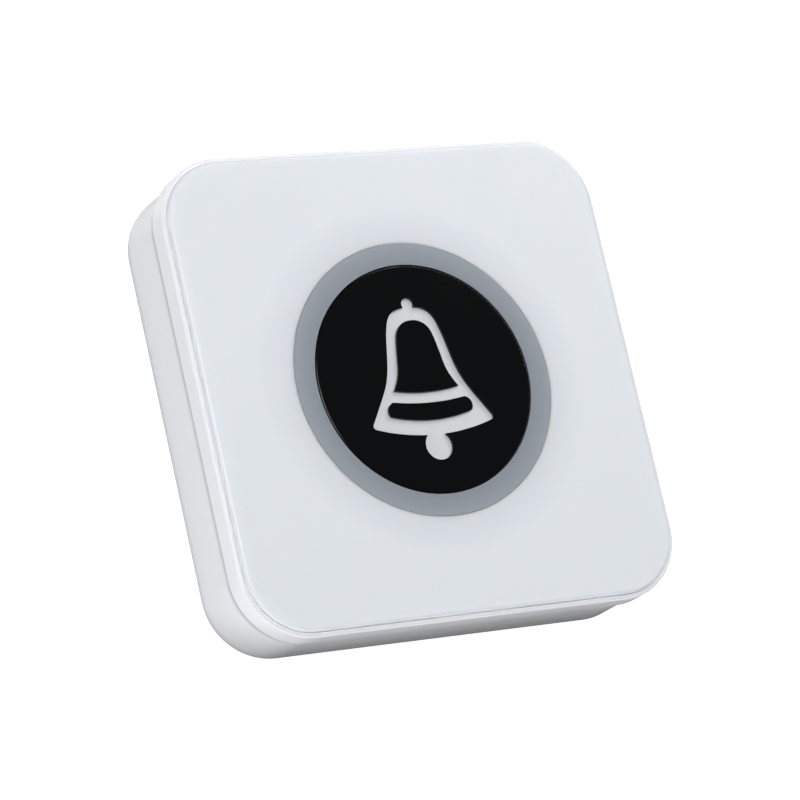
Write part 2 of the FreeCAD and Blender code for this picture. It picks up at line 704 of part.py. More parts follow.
def bell_prism(name, top):
    """The bell pictogram from its recess's floor to a height: two open fields, a knob and a clapper."""
    wide, tall = value("bell_width") / 0.956, value("bell_height") / 1.192
    level = value(f"{FACE} - bell_recess - bell_thick")
    rise = Vector(0, 0, value(top) - level)

    def at(x, y):
        return Vector(x * wide, y * tall, level)

    def curve(points):
        """A smooth curve through the points and their mirror images; the first is on the axis."""
        mirrored = [at(-x, y) for x, y in points[:0:-1]]
        spline = Part.BSplineCurve()
        spline.interpolate(mirrored + [at(x, y) for x, y in points])
        return spline.toShape()

    def arc(start, middle, end):
        return Part.Arc(at(*start), at(*middle), at(*end)).toShape()

    def prism(edges):
        return Part.Face(Part.Wire(Part.__sortEdges__(edges))).extrude(rise)

    def disc(y, radius):
        return prism([Part.makeCircle(radius * wide, at(0, y))])

    flank = ((0, 0.527), (0.1, 0.517), (0.165, 0.475), (0.203, 0.4), (0.235, 0.27), (0.262, 0.13),
             (0.3, 0.0), (0.36, -0.115), (0.43, -0.228), (0.468, -0.29))
    lip = (0.458, -0.34)
    outer = prism([curve(flank), arc(flank[-1], (0.478, -0.318), lip),
                   arc(lip, (0, -0.412), (-lip[0], lip[1])),
                   arc((-lip[0], lip[1]), (-0.478, -0.318), (-flank[-1][0], flank[-1][1]))])
    field = ((0, 0.431), (0.07, 0.417), (0.122, 0.37), (0.152, 0.28), (0.172, 0.16), (0.194, 0.05),
             (0.222, -0.015), (0.256, -0.073))
    upper = prism([curve(field), arc(field[-1], (0, -0.098), (-field[-1][0], field[-1][1]))])
    top_end, low_end = (0.285, -0.154), (0.32, -0.257)
    lower = prism([arc((-top_end[0], top_end[1]), (0, -0.177), top_end),
                   arc(top_end, (0.334, -0.212), low_end),
                   arc(low_end, (0, -0.302), (-low_end[0], low_end[1])),
                   arc((-low_end[0], low_end[1]), (-0.334, -0.212), (-top_end[0], top_end[1]))])
    knob, clapper = disc(0.549, 0.048), disc(-0.489, 0.106)
    bell = doc.addObject("Part::Feature", name)
    bell.Shape = outer.fuse([knob, clapper]).cut([upper, lower]).removeSplitter()
    return bell


def make_bell_inlay():
    inlay = bell_prism("bell_inlay_solid", f"{FACE} - bell_recess")
    inlay.Label = "bell_inlay"
    return inlay


def make_button_cap():
    body = new_body("button_cap_blank")
    profile = new_sketch(body, plane="XZ_Plane")
    skirt = f"({CAP_RADIUS} - cap_skirt)"
    draw_polygon(profile, (("0", CAP_UNDER), (skirt, CAP_UNDER), (skirt, CAP_FLANGE_BOTTOM),
                           (CAP_FLANGE_RADIUS, CAP_FLANGE_BOTTOM), (CAP_FLANGE_RADIUS, CAP_FLANGE_TOP),
                           (CAP_RADIUS, CAP_FLANGE_TOP), (CAP_RADIUS, FACE), ("0", FACE)))
    revolve(body, profile)
    round_edges(body, "cap_edge_round", at_level(FACE, "0"))

    post = new_sketch(body, POST_BOTTOM)
    draw_circle(post, "post_radius")
    pad(body, post, f"{CAP_UNDER} - {POST_BOTTOM}")
    rib = new_sketch(body, f"{CAP_UNDER} - cap_rib_depth")
    draw_rectangle(rib, "switch_size * sqrt(0.5) + 2 * cap_rib", "-cap_rib / 2",
                   f"{PAD_HEAD_RADIUS} - pad_head_width - cap_rib", "cap_rib / 2")
    rib_pad = pad(body, rib, "cap_rib_depth")
    repeat_round(body, [rib_pad], 8)
    ear = new_sketch(body, CAP_FLANGE_BOTTOM)
    draw_rectangle(ear, f"{CAP_RADIUS}", "-ear_width / 2", EAR_RADIUS, "ear_width / 2")
    ear_pad = pad(body, ear, "cap_flange_thick")
    repeat_round(body, [ear_pad], 2)

    cap = doc.addObject("Part::Cut", "button_cap_solid")
    cap.Base = body
    cap.Tool = bell_prism("bell_recess", f"{FACE} + bell_thick")
    cap.Label = "button_cap"
    return cap


def make_reflector_ring():
    body = new_body("reflector_ring")
    outline = new_sketch(body, BOARD_TOP)
    draw_circle(outline, RING_FLANGE_RADIUS)
    draw_circle(outline, REFLECTOR_INNER)
    pad(body, outline, f"{RING_BOTTOM} - {BOARD_TOP}")
    slot = new_sketch(body, BOARD_TOP)
    draw_rectangle(slot, f"{CAP_RADIUS}", "-ear_width / 2 - ear_gap",
                   f"{EAR_RADIUS} + ear_gap", "ear_width / 2 + ear_gap")
    slot_cut = cut_up(body, slot, f"{RING_BOTTOM} - {BOARD_TOP}")
    repeat_round(body, [slot_cut], 2)
    window = new_sketch(body, BOARD_TOP)
    draw_led_outline(window, "led_window_gap")
    window_cut = cut_up(body, window, f"{RING_BOTTOM} - {BOARD_TOP}")
    repeat_round(body, [window_cut], "led_count")
    return body


def draw_led_outline(sketch, margin):
    """The first LED's rectangle, half a step round from +X, wider by a margin all round."""
    half_step = "(180 / led_count)"
    across, along = f"(led_width / 2 + {margin})", f"(led_length / 2 + {margin})"
    corners = []
    for out, turn in ((-1, -1), (1, -1), (1, 1), (-1, 1)):
        radial, sideways = f"({LED_RADIUS} + {out} * {across})", f"({turn} * {along})"
        corners.append((f"{radial} * cos({half_step}) - {sideways} * sin({half_step})",
                        f"{radial} * sin({half_step}) + {sideways} * cos({half_step})"))
    draw_polygon(sketch, corners)


def make_ring_leds():
    body = new_body("ring_leds")
    outline = new_sketch(body, BOARD_TOP)
    draw_led_outline(outline, "0")
    led = pad(body, outline, "led_height")
    repeat_round(body, [led], "led_count")
    return body


def make_return_pad():
    body = new_body("return_pad")
    profile = new_sketch(body, plane="XZ_Plane")
    foot_top, head_bottom = f"{BOARD_TOP} + pad_foot", f"{CAP_UNDER} - pad_foot"
    foot_inner, head_inner = f"{PAD_FOOT_RADIUS} - pad_foot_width", f"{PAD_HEAD_RADIUS} - pad_head_width"
    draw_polygon(profile, ((foot_inner, BOARD_TOP), (PAD_FOOT_RADIUS, BOARD_TOP),
                           (PAD_FOOT_RADIUS, foot_top), (f"{foot_inner} + pad_wall", foot_top),
                           (PAD_HEAD_RADIUS, head_bottom),
                           (PAD_HEAD_RADIUS, CAP_UNDER), (head_inner, CAP_UNDER), (head_inner, head_bottom),
                           (f"{PAD_HEAD_RADIUS} - pad_wall", head_bottom), (foot_inner, foot_top)))
    revolve(body, profile)
    return body


# ---------------------------------------------------------------------------------------------------------
# Tact switch

def make_switch_base():
    body = new_body("switch_base")
    outline = new_sketch(body, BOARD_TOP)
    draw_rectangle(outline, "-switch_size / 2", "-switch_size / 2", "switch_size / 2", "switch_size / 2")
    pad(body, outline, "switch_base_height")
    cavity = new_sketch(body, SWITCH_CAVITY)
    draw_circle(cavity, "switch_cavity_radius")
    cut_up(body, cavity, "switch_base_height")
    return body


def make_switch_cover():
    body = new_body("switch_cover")
    outline = new_sketch(body, SWITCH_TOP)
    draw_rectangle(outline, "-switch_size / 2", "-switch_size / 2", "switch_size / 2", "switch_size / 2")
    draw_circle(outline, "plunger_radius + plunger_gap")
    pad(body, outline, "switch_cover_thick")
    return body


def make_switch_plunger():
    body = new_body("switch_plunger")
    profile = new_sketch(body, plane="XZ_Plane")
    wide = "(plunger_radius + plunger_flange)"
    draw_polygon(profile, (("0", PLUNGER_FOOT), (wide, PLUNGER_FOOT), (wide, PLUNGER_FLANGE_TOP),
                           ("plunger_radius", PLUNGER_FLANGE_TOP), ("plunger_radius", PLUNGER_TOP),
                           ("0", PLUNGER_TOP)))
    revolve(body, profile)
    return body


def make_switch_dome():
    """A shallow spherical cap of sheet steel, from the cavity's floor up to the plunger."""
    rise = value(f"{PLUNGER_FOOT} - {SWITCH_CAVITY}")
    reach = value("switch_cavity_radius - plunger_gap")
    sphere_radius = (reach * reach + rise * rise) / (2 * rise)
    centre = Vector(0, 0, value(PLUNGER_FOOT) - sphere_radius)
    outer = Part.makeSphere(sphere_radius, centre)
    inner = Part.makeSphere(sphere_radius - value("dome_thick"), centre)
    slab = Part.makeCylinder(reach * 1.5, rise * 1.5, Vector(0, 0, value(SWITCH_CAVITY)))
    dome = doc.addObject("Part::Feature", "switch_dome_solid")
    dome.Shape = outer.cut(inner).common(slab)
    dome.Label = "switch_dome"
    return dome


def make_switch_terminals():
    """Four flat terminals on the board, two on each side of the switch."""
    terminals = []
    for side in (-1, 1):
        for end in (-1, 1):
            x_low = f"{side} * (switch_size / 2 + terminal_reach / 2) - terminal_reach / 2"
            y_low = f"{end} * switch_size / 3 - terminal_width / 2"
            terminals.append(new_box("terminal", (x_low, y_low, BOARD_TOP),
                                     ("terminal_reach", "terminal_width", "terminal_thick")))
    return gather("switch_terminals", terminals)


# ---------------------------------------------------------------------------------------------------------
# Circuit board and what is soldered under it

def make_circuit_board():
    body = new_body("circuit_board")
    outline = new_sketch(body, BOARD_BOTTOM)
    half = f"({HOUSING_INNER} - board_margin)"
    clear = f"(2 * {BOSS_PLACE} - (boss_radius + board_corner_gap) * sqrt(2))"
    short = f"({clear} - {half})"
    draw_polygon(outline, ((half, short), (short, half), (f"-{short}", half), (f"-{half}", short),
                           (f"-{half}", f"-{short}"), (f"-{short}", f"-{half}"),
                           (short, f"-{half}"), (half, f"-{short}")))
    pad(body, outline, "board_thick")
    hole = new_sketch(body, BOARD_BOTTOM)
    draw_circle(hole, "board_hole_radius", BOARD_SCREW_PLACE)
    hole_cut = cut_up(body, hole, "board_thick")
    repeat_round(body, [hole_cut], 4)
    slots = new_sketch(body, BOARD_BOTTOM)
    across, along = "(contact_thick / 2 + tail_gap)", "(contact_tail / 2 + tail_gap)"
    for middle in (f"({SPRING_PLATE} - contact_thick / 2)", f"({CONTACT_PLANE} + contact_thick / 2)"):
        draw_rectangle(slots, f"{middle} - {across}", f"battery_row - {along}",
                       f"{middle} + {across}", f"battery_row + {along}")
    cut_up(body, slots, "board_thick")
    return body


def hang(name, x, y, size, gap="0"):
    """A box that hangs under the board: its middle in x and y, its length, width and height."""
    length, width, height = (f"({side})" for side in size)
    low = (f"{x} - {length} / 2", f"{y} - {width} / 2", f"{BOARD_BOTTOM} - {gap} - {height}")
    return new_box(name, low, size)


def make_row(label, count, y, size):
    boxes = []
    for step in range(count):
        x = f"({step} - ({count} - 1) / 2) * part_pitch"
        boxes.append(hang("chip_component", x, y, size))
    return gather(label, boxes)


CHIP_X, CHIP_Y = "-12.0", "10.0"
CAN_X, CAN_Y = "6.0", "10.0"


def make_encoder_chip():
    size = ("chip_length", "chip_width", "chip_height")
    lead = ("lead_width", "lead_reach + lead_width", "chip_standoff + chip_height / 2")
    shapes = [hang("chip", CHIP_X, CHIP_Y, size, "chip_standoff")]
    for step in range(7):
        x = f"{CHIP_X} + ({step} - 3) * lead_pitch"
        for side in (-1, 1):
            y = f"{CHIP_Y} + {side} * (chip_width / 2 + lead_reach / 2)"
            shapes.append(hang("lead", x, y, lead))
    return fuse("encoder_chip", shapes)


def make_saw_resonator():
    can = new_cylinder("can", "can_radius", "can_height", (CAN_X, CAN_Y, f"{BOARD_BOTTOM} - can_height"))
    flange = new_cylinder("flange", "can_radius + can_flange", "can_flange",
                          (CAN_X, CAN_Y, f"{BOARD_BOTTOM} - can_flange"))
    return fuse("saw_resonator", [can, flange])


def make_transistors():
    size = ("transistor_length", "transistor_width", "transistor_height")
    places = (("16", "6"), ("16", "10"), ("16", "14"))
    return gather("transistors", [hang("transistor", x, y, size) for x, y in places])


def make_antenna_coil():
    """A helical antenna along X, with a leg up to the board at each end."""
    body = new_body("antenna_winding")
    wire = new_sketch(body, plane="XZ_Plane")
    draw_wire(wire, "antenna_wire", "antenna_radius", "0")
    coil = body.newObject("PartDesign::AdditiveHelix", "Helix")
    coil.Profile = wire
    coil.ReferenceAxis = (wire, ["V_Axis"])
    coil.Mode = "height-turns-angle"
    drive(coil, "Height", "antenna_length")
    drive(coil, "Turns", "antenna_turns")
    level = f"({BOARD_BOTTOM} - 2 * antenna_wire)"
    lay_along_x(body, "antenna_length / 2", "antenna_row", f"{level} - antenna_radius", -90)
    legs = [new_cylinder("leg", "antenna_wire", f"{BOARD_BOTTOM} - {level}",
                         (f"{side} * antenna_length / 2", "antenna_row", level)) for side in (-1, 1)]
    return fuse("antenna_coil", [body] + legs)


# ---------------------------------------------------------------------------------------------------------
# Battery and contacts

def make_battery():
    body = new_body("battery")
    profile = new_sketch(body, plane="XZ_Plane")
    shoulder = "(battery_length - battery_nub)"
    draw_polygon(profile, (("0", "0"), ("battery_diameter / 2", "0"), ("battery_diameter / 2", shoulder),
                           ("battery_nub_radius", shoulder), ("battery_nub_radius", "battery_length"),
                           ("0", "battery_length")))
    revolve(body, profile)
    doc.recompute()
    round_edges(body, "battery_edge_round", lambda edge: edge.BoundBox.ZLength < 1e-4 and
                edge.BoundBox.XMax > value("battery_nub_radius") + 0.1)
    lay_along_x(body, BATTERY_START)
    return body


def make_contact_plate(label, low_x):
    """A flat spring-steel plate across the bay's end, with a solder tail up through the board."""
    width, tail = "contact_width", "contact_tail"
    plate = new_box("plate", (low_x, f"battery_row - {width} / 2", "contact_foot"),
                    ("contact_thick", width, f"{BATTERY_AXIS} + {width} / 2 - contact_foot"))
    riser = new_box("tail", (low_x, f"battery_row - {tail} / 2", BATTERY_AXIS),
                    ("contact_thick", tail, f"{BOARD_TOP} - {BATTERY_AXIS}"))
    return [plate, riser]


def make_positive_contact():
    shapes = make_contact_plate("positive", CONTACT_PLANE)
    dimple = new_cylinder("dimple", "battery_nub_radius / 2", "contact_dimple",
                          (BATTERY_NOSE, "battery_row", BATTERY_AXIS))
    lay_along_x(dimple, BATTERY_NOSE)
    return fuse("battery_positive_contact", shapes + [dimple])


def make_negative_plate():
    return fuse("battery_negative_plate", make_contact_plate("negative", f"{SPRING_PLATE} - contact_thick"))


def make_battery_spring():
    """A conical spring that starts on the plate and narrows towards the cell."""
    body = new_body("battery_spring")
    wire = new_sketch(body, plane="XZ_Plane")
    draw_wire(wire, "spring_wire", "spring_base_radius", "spring_wire")
    coil = body.newObject("PartDesign::AdditiveHelix", "Helix")
    coil.Profile = wire
    coil.ReferenceAxis = (wire, ["V_Axis"])
    coil.Mode = "height-turns-growth"
    drive(coil, "Height", "spring_length - 2 * spring_wire")
    drive(coil, "Turns", "spring_turns")
    drive(coil, "Growth", "(spring_tip_radius - spring_base_radius) / spring_turns")
    lay_along_x(body, SPRING_PLATE)
    return body


# ---------------------------------------------------------------------------------------------------------
# Screws

def make_screws(label, places, under_head, head, shank):
    """Screws that point up (+Z): places are (x, y), under_head is the height of the head's upper side."""
    head_radius, head_height = head
    shank_radius, shank_length = shank
    screws = []
    for x, y in places:
        disc = new_cylinder("head", head_radius, head_height, (x, y, f"{under_head} - {head_height}"))
        stem = new_cylinder("stem", shank_radius, f"{shank_length} - {shank_radius}", (x, y, under_head))
        tip = doc.addObject("Part::Cone", "tip")
        drive(tip, "Radius1", shank_radius)
        drive(tip, "Radius2", f"{shank_radius} / 3")
        drive(tip, "Height", shank_radius)
        for axis, formula in zip("xyz", (x, y, f"{under_head} + {shank_length} - {shank_radius}")):
            drive(tip, f"Placement.Base.{axis}", formula)
        screws.append(fuse("screw", [disc, stem, tip]))
    return gather(label, screws)


def make_case_screws():
    places = [(f"{x} * {BOSS_PLACE}", f"{y} * {BOSS_PLACE}") for x in (-1, 1) for y in (-1, 1)]
    head = ("case_head_radius", "case_head_height")
    shank = ("(boss_pilot_radius - screw_bite)", "case_screw_length")
    return make_screws("case_screws", places, "(boss_foot - tower_web)", head, shank)


def make_board_screws():
    reach = BOARD_SCREW_PLACE
    places = [(reach, "0"), (f"-{reach}", "0"), ("0", reach), ("0", f"-{reach}")]
    head = ("board_head_radius", "board_head_height")
    shank = ("(board_pilot_radius - screw_bite)", "board_screw_length")
    return make_screws("board_screws", places, BOARD_BOTTOM, head, shank)


# ---------------------------------------------------------------------------------------------------------
# Build, check and write

PIECES = [
    make_front_cover(), make_face_plate(), make_light_ring(), make_button_cap(), make_bell_inlay(),
    make_reflector_ring(), make_return_pad(), make_ring_leds(), make_switch_base(), make_switch_cover(),
    make_switch_plunger(), make_switch_dome(), make_switch_terminals(), make_circuit_board(),
    make_encoder_chip(), make_saw_resonator(), make_transistors(), make_antenna_coil(),
    make_row("resistors", 7, "0.0", ("resistor_width", "resistor_length", "resistor_height")),
    make_row("capacitors", 4, "-4.5", ("capacitor_size", "capacitor_size * 0.62", "capacitor_height")),
    make_battery(), make_positive_contact(), make_negative_plate(), make_battery_spring(),
    make_housing_gasket(), make_rear_housing(), make_battery_door(), make_case_screws(),
    make_board_screws(),
]
doc.recompute()

for thing in doc.Objects:
    if "Invalid" in thing.State or "Error" in thing.State:
        raise RuntimeError(f"{thing.Name} ({thing.Label}) failed: {thing.State}")
for feature in CUTS:
    if feature.BaseFeature.Shape.Volume - feature.Shape.Volume < 1e-3:
        raise RuntimeError(f"{feature.Name} cuts nothing")
for piece in PIECES:
    if piece.Shape.isNull() or not piece.Shape.isValid():
        raise RuntimeError(f"{piece.Label} has no valid shape")

os.makedirs("parts", exist_ok=True)
for piece in PIECES:
    piece.Shape.exportStep(f"parts/{piece.Label}.step")
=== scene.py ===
import math

import bmesh
import bpy
from mathutils import Matrix, Vector


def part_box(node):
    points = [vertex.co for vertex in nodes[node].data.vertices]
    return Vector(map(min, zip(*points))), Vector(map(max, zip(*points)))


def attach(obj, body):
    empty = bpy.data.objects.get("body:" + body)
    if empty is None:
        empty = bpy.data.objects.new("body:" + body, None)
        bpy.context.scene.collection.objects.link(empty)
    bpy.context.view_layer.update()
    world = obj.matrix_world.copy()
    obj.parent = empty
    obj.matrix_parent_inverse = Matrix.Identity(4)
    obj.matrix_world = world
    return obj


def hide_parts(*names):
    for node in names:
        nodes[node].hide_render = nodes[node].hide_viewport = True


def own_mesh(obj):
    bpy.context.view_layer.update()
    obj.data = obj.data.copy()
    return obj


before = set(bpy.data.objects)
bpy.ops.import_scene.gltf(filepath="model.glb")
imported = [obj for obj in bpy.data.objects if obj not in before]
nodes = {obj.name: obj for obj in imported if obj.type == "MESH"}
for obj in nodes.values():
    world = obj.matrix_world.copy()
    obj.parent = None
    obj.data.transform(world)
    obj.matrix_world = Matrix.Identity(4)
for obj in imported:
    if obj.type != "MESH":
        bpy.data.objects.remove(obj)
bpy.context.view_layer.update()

scene = bpy.context.scene
MM = 0.001

# sizes of the object that the materials and pieces below need
RING_INNER = 17.0 * MM
RING_OUTER = 20.3 * MM
PLATE_CORNER_CENTRE = 25 * MM
PLATE_CORNER_RADIUS = 9.28 * MM
LED_COUNT = 8
LED_CIRCLE = 20.375 * MM
LENS_RADIUS = 0.45 * MM
LENS_RISE = 0.08 * MM


# ---------------------------------------------------------------------------------------------------------
# Skins over rings of points

def add_ring(form, place, radius, z, steps):
    """A level ring of points round a place (x, y)."""
    x, y = place
    turns = [math.tau * i / steps for i in range(steps)]
    return [form.verts.new((x + radius * math.cos(t), y + radius * math.sin(t), z)) for t in turns]


def join_rings(form, rings):
    """Faces from each ring of points to the next."""
    steps = len(rings[0])
    for low, high in zip(rings, rings[1:]):
        for i in range(steps):
            j = (i + 1) % steps
            form.faces.new((low[i], low[j], high[j], high[i]))


def close_flat(form, rings):
    """A closed skin over rings of points, with a flat face at each end."""
    form.faces.new(rings[0])
    form.faces.new(rings[-1])
    join_rings(form, rings)


def close_to_points(form, first, rings, last):
    """A closed skin from a first point over rings of points to a last point."""
    steps = len(rings[0])
    for i in range(steps):
        j = (i + 1) % steps
        form.faces.new((first, rings[0][j], rings[0][i]))
        form.faces.new((last, rings[-1][i], rings[-1][j]))
    join_rings(form, rings)


def finished_mesh(form, name):
    """The form as a mesh with its faces turned outwards; the form is used up."""
    bmesh.ops.recalc_face_normals(form, faces=form.faces)
    mesh = bpy.data.meshes.new(name)
    form.to_mesh(mesh)
    form.free()
    return mesh


# ---------------------------------------------------------------------------------------------------------
# Camera: its own axes and its place are fitted to the object's outline and circles in the photograph

CAMERA_RIGHT = (0.8723, -0.2163, 0.4388)
CAMERA_UP = (0.0815, 0.9487, 0.3056)
CAMERA_BACK = (-0.4823, -0.2308, 0.8452)
CAMERA_PLACE = (-0.28749, -0.13817, 0.51314)

scene.view_settings.view_transform = "Standard"
scene.view_settings.look = "None"

camera_data = bpy.data.cameras.new("camera")
camera_data.sensor_width = 36.0
camera_data.lens = 187.7
camera_data.clip_start = 0.05
camera_data.clip_end = 20.0
camera = bpy.data.objects.new("camera", camera_data)
scene.collection.objects.link(camera)
turned = Matrix((CAMERA_RIGHT, CAMERA_UP, CAMERA_BACK)).transposed().to_4x4()
camera.matrix_world = Matrix.Translation(CAMERA_PLACE) @ turned
scene.camera = camera


# ---------------------------------------------------------------------------------------------------------
# Lights

# name, direction from the object, distance, side of the square light, power in watts, and whether glossy
# surfaces mirror it: soft_left shines in low and would lie as a glare on the face plate
LIGHTS = (
    ("key", (-0.1, 0.15, 0.98), 0.85, 0.3, 4.6, True),
    ("soft_left", (-1.0, -0.15, 0.18), 1.0, 0.4, 4.8, False),
    ("soft_right", (0.6, 0.6, 0.5), 0.85, 0.45, 3.9, True),
    ("under", (0.15, 0.62, -0.77), 1.2, 0.6, 15.0, True),
)

# name, range along x, range along y, power: bright paper beside the object that lights its sides from below
GLOWS = (
    ("glow_left", (-0.55, -0.036), (-0.4, 0.4), 0.75),
    ("glow_front", (-0.4, 0.4), (-0.5, -0.075), 4.3),
)
GLOW_HEIGHT = 0.2 * MM

# the point inside the case that the lights shine at
AIM = Vector((0, 0, 10 * MM))


def add_light(name, width, depth, power):
    """A rectangular light that the camera doesn't see."""
    data = bpy.data.lights.new(name, "AREA")
    data.shape = "RECTANGLE"
    data.size = width
    data.size_y = depth
    data.energy = power
    light = bpy.data.objects.new(name, data)
    light.visible_camera = False
    scene.collection.objects.link(light)
    return light


for name, direction, distance, side, power, mirrored in LIGHTS:
    light = add_light(name, side, side, power)
    away = Vector(direction).normalized()
    light.location = AIM + away * distance
    light.rotation_mode = "QUATERNION"
    light.rotation_quaternion = away.to_track_quat("Z", "Y")
    light.visible_glossy = mirrored

for name, along_x, along_y, power in GLOWS:
    light = add_light(name, along_x[1] - along_x[0], along_y[1] - along_y[0], power)
    light.location = (sum(along_x) / 2, sum(along_y) / 2, GLOW_HEIGHT)
    light.rotation_mode = "XYZ"
    light.rotation_euler = (math.pi, 0, 0)


def make_sky():
    """A dim grey sky that gets darker towards the horizon."""
    world = bpy.data.worlds.new("studio")
    scene.world = world
    world.use_nodes = True
    sky = world.node_tree
    place = sky.nodes.new("ShaderNodeTexCoord")
    parts = sky.nodes.new("ShaderNodeSeparateXYZ")
    ramp = sky.nodes.new("ShaderNodeValToRGB")
    horizon, zenith = ramp.color_ramp.elements
    horizon.position = 0.0
    horizon.color = (0.02, 0.02, 0.02, 1)
    zenith.position = 0.5
    zenith.color = (0.10, 0.10, 0.105, 1)
    sky.links.new(place.outputs["Generated"], parts.inputs[0])
    sky.links.new(parts.outputs["Z"], ramp.inputs[0])
    sky.links.new(ramp.outputs[0], sky.nodes["Background"].inputs["Color"])


make_sky()


# ---------------------------------------------------------------------------------------------------------
# Floors

def make_paper(name, grey, glow=0.0):
    """A matt paper that is clear when seen from below; with a glow, it gives light of its own."""
    paper = bpy.data.materials.new(name)
    paper.use_nodes = True
    tree = paper.node_tree
    tree.nodes.clear()
    matt = tree.nodes.new("ShaderNodeBsdfDiffuse")
    matt.inputs["Color"].default_value = (grey, grey, grey, 1)
    upper = matt
    if glow:
        emission = tree.nodes.new("ShaderNodeEmission")
        emission.inputs["Color"].default_value = (glow, glow, glow, 1)
        upper = tree.nodes.new("ShaderNodeAddShader")
        tree.links.new(matt.outputs[0], upper.inputs[0])
        tree.links.new(emission.outputs[0], upper.inputs[1])
    clear = tree.nodes.new("ShaderNodeBsdfTransparent")
    geometry = tree.nodes.new("ShaderNodeNewGeometry")
    side = tree.nodes.new("ShaderNodeMixShader")
    out = tree.nodes.new("ShaderNodeOutputMaterial")
    tree.links.new(geometry.outputs["Backfacing"], side.inputs[0])
    tree.links.new(upper.outputs[0], side.inputs[1])
    tree.links.new(clear.outputs[0], side.inputs[2])
    tree.links.new(side.outputs[0], out.inputs["Surface"])
    return paper


def make_floor(name, paper, height, walled):
    """A round floor; with a wall, it is flat for 1 m and then bends up all round."""
    near, far, steps = 0.2, 0.4, 48
    profile = [(near, 0.0), (far, 0.0)]
    if walled:
        flat, bend, wall_top = 1.0, 0.6, 1.4
        profile.append((flat, 0.0))
        for angle in range(15, 91, 15):
            turn = math.radians(angle)
            profile.append((flat + bend * math.sin(turn), bend - bend * math.cos(turn)))
        profile.append((flat + bend, wall_top))
    form = bmesh.new()
    rings = [add_ring(form, (0.0, 0.0), radius, rise, steps) for radius, rise in profile]
    form.faces.new(rings[0])
    join_rings(form, rings)
    bmesh.ops.recalc_face_normals(form, faces=form.faces)
    form.faces.ensure_lookup_table()
    if form.faces[0].normal.z < 0:
        bmesh.ops.reverse_faces(form, faces=form.faces)
    for face in form.faces:
        face.smooth = True
    mesh = bpy.data.meshes.new(name)
    form.to_mesh(mesh)
    form.free()
    mesh.materials.append(paper)
    floor = bpy.data.objects.new(name, mesh)
    floor.location.z = height
    scene.collection.objects.link(floor)
    return floor


# the floor that throws light back on the object
bounce_floor = make_floor("floor_bounce", make_paper("paper_bounce", 0.12), -0.2 * MM, walled=False)
bounce_floor.visible_camera = False
bounce_floor.visible_shadow = False

# the floor that only the camera sees
seen_floor = make_floor("floor", make_paper("paper_seen", 0.3, glow=0.97), -0.1 * MM, walled=True)
seen_floor.visible_diffuse = False
seen_floor.visible_glossy = False
seen_floor.visible_transmission = False
seen_floor.visible_shadow = False


# ---------------------------------------------------------------------------------------------------------
# Materials

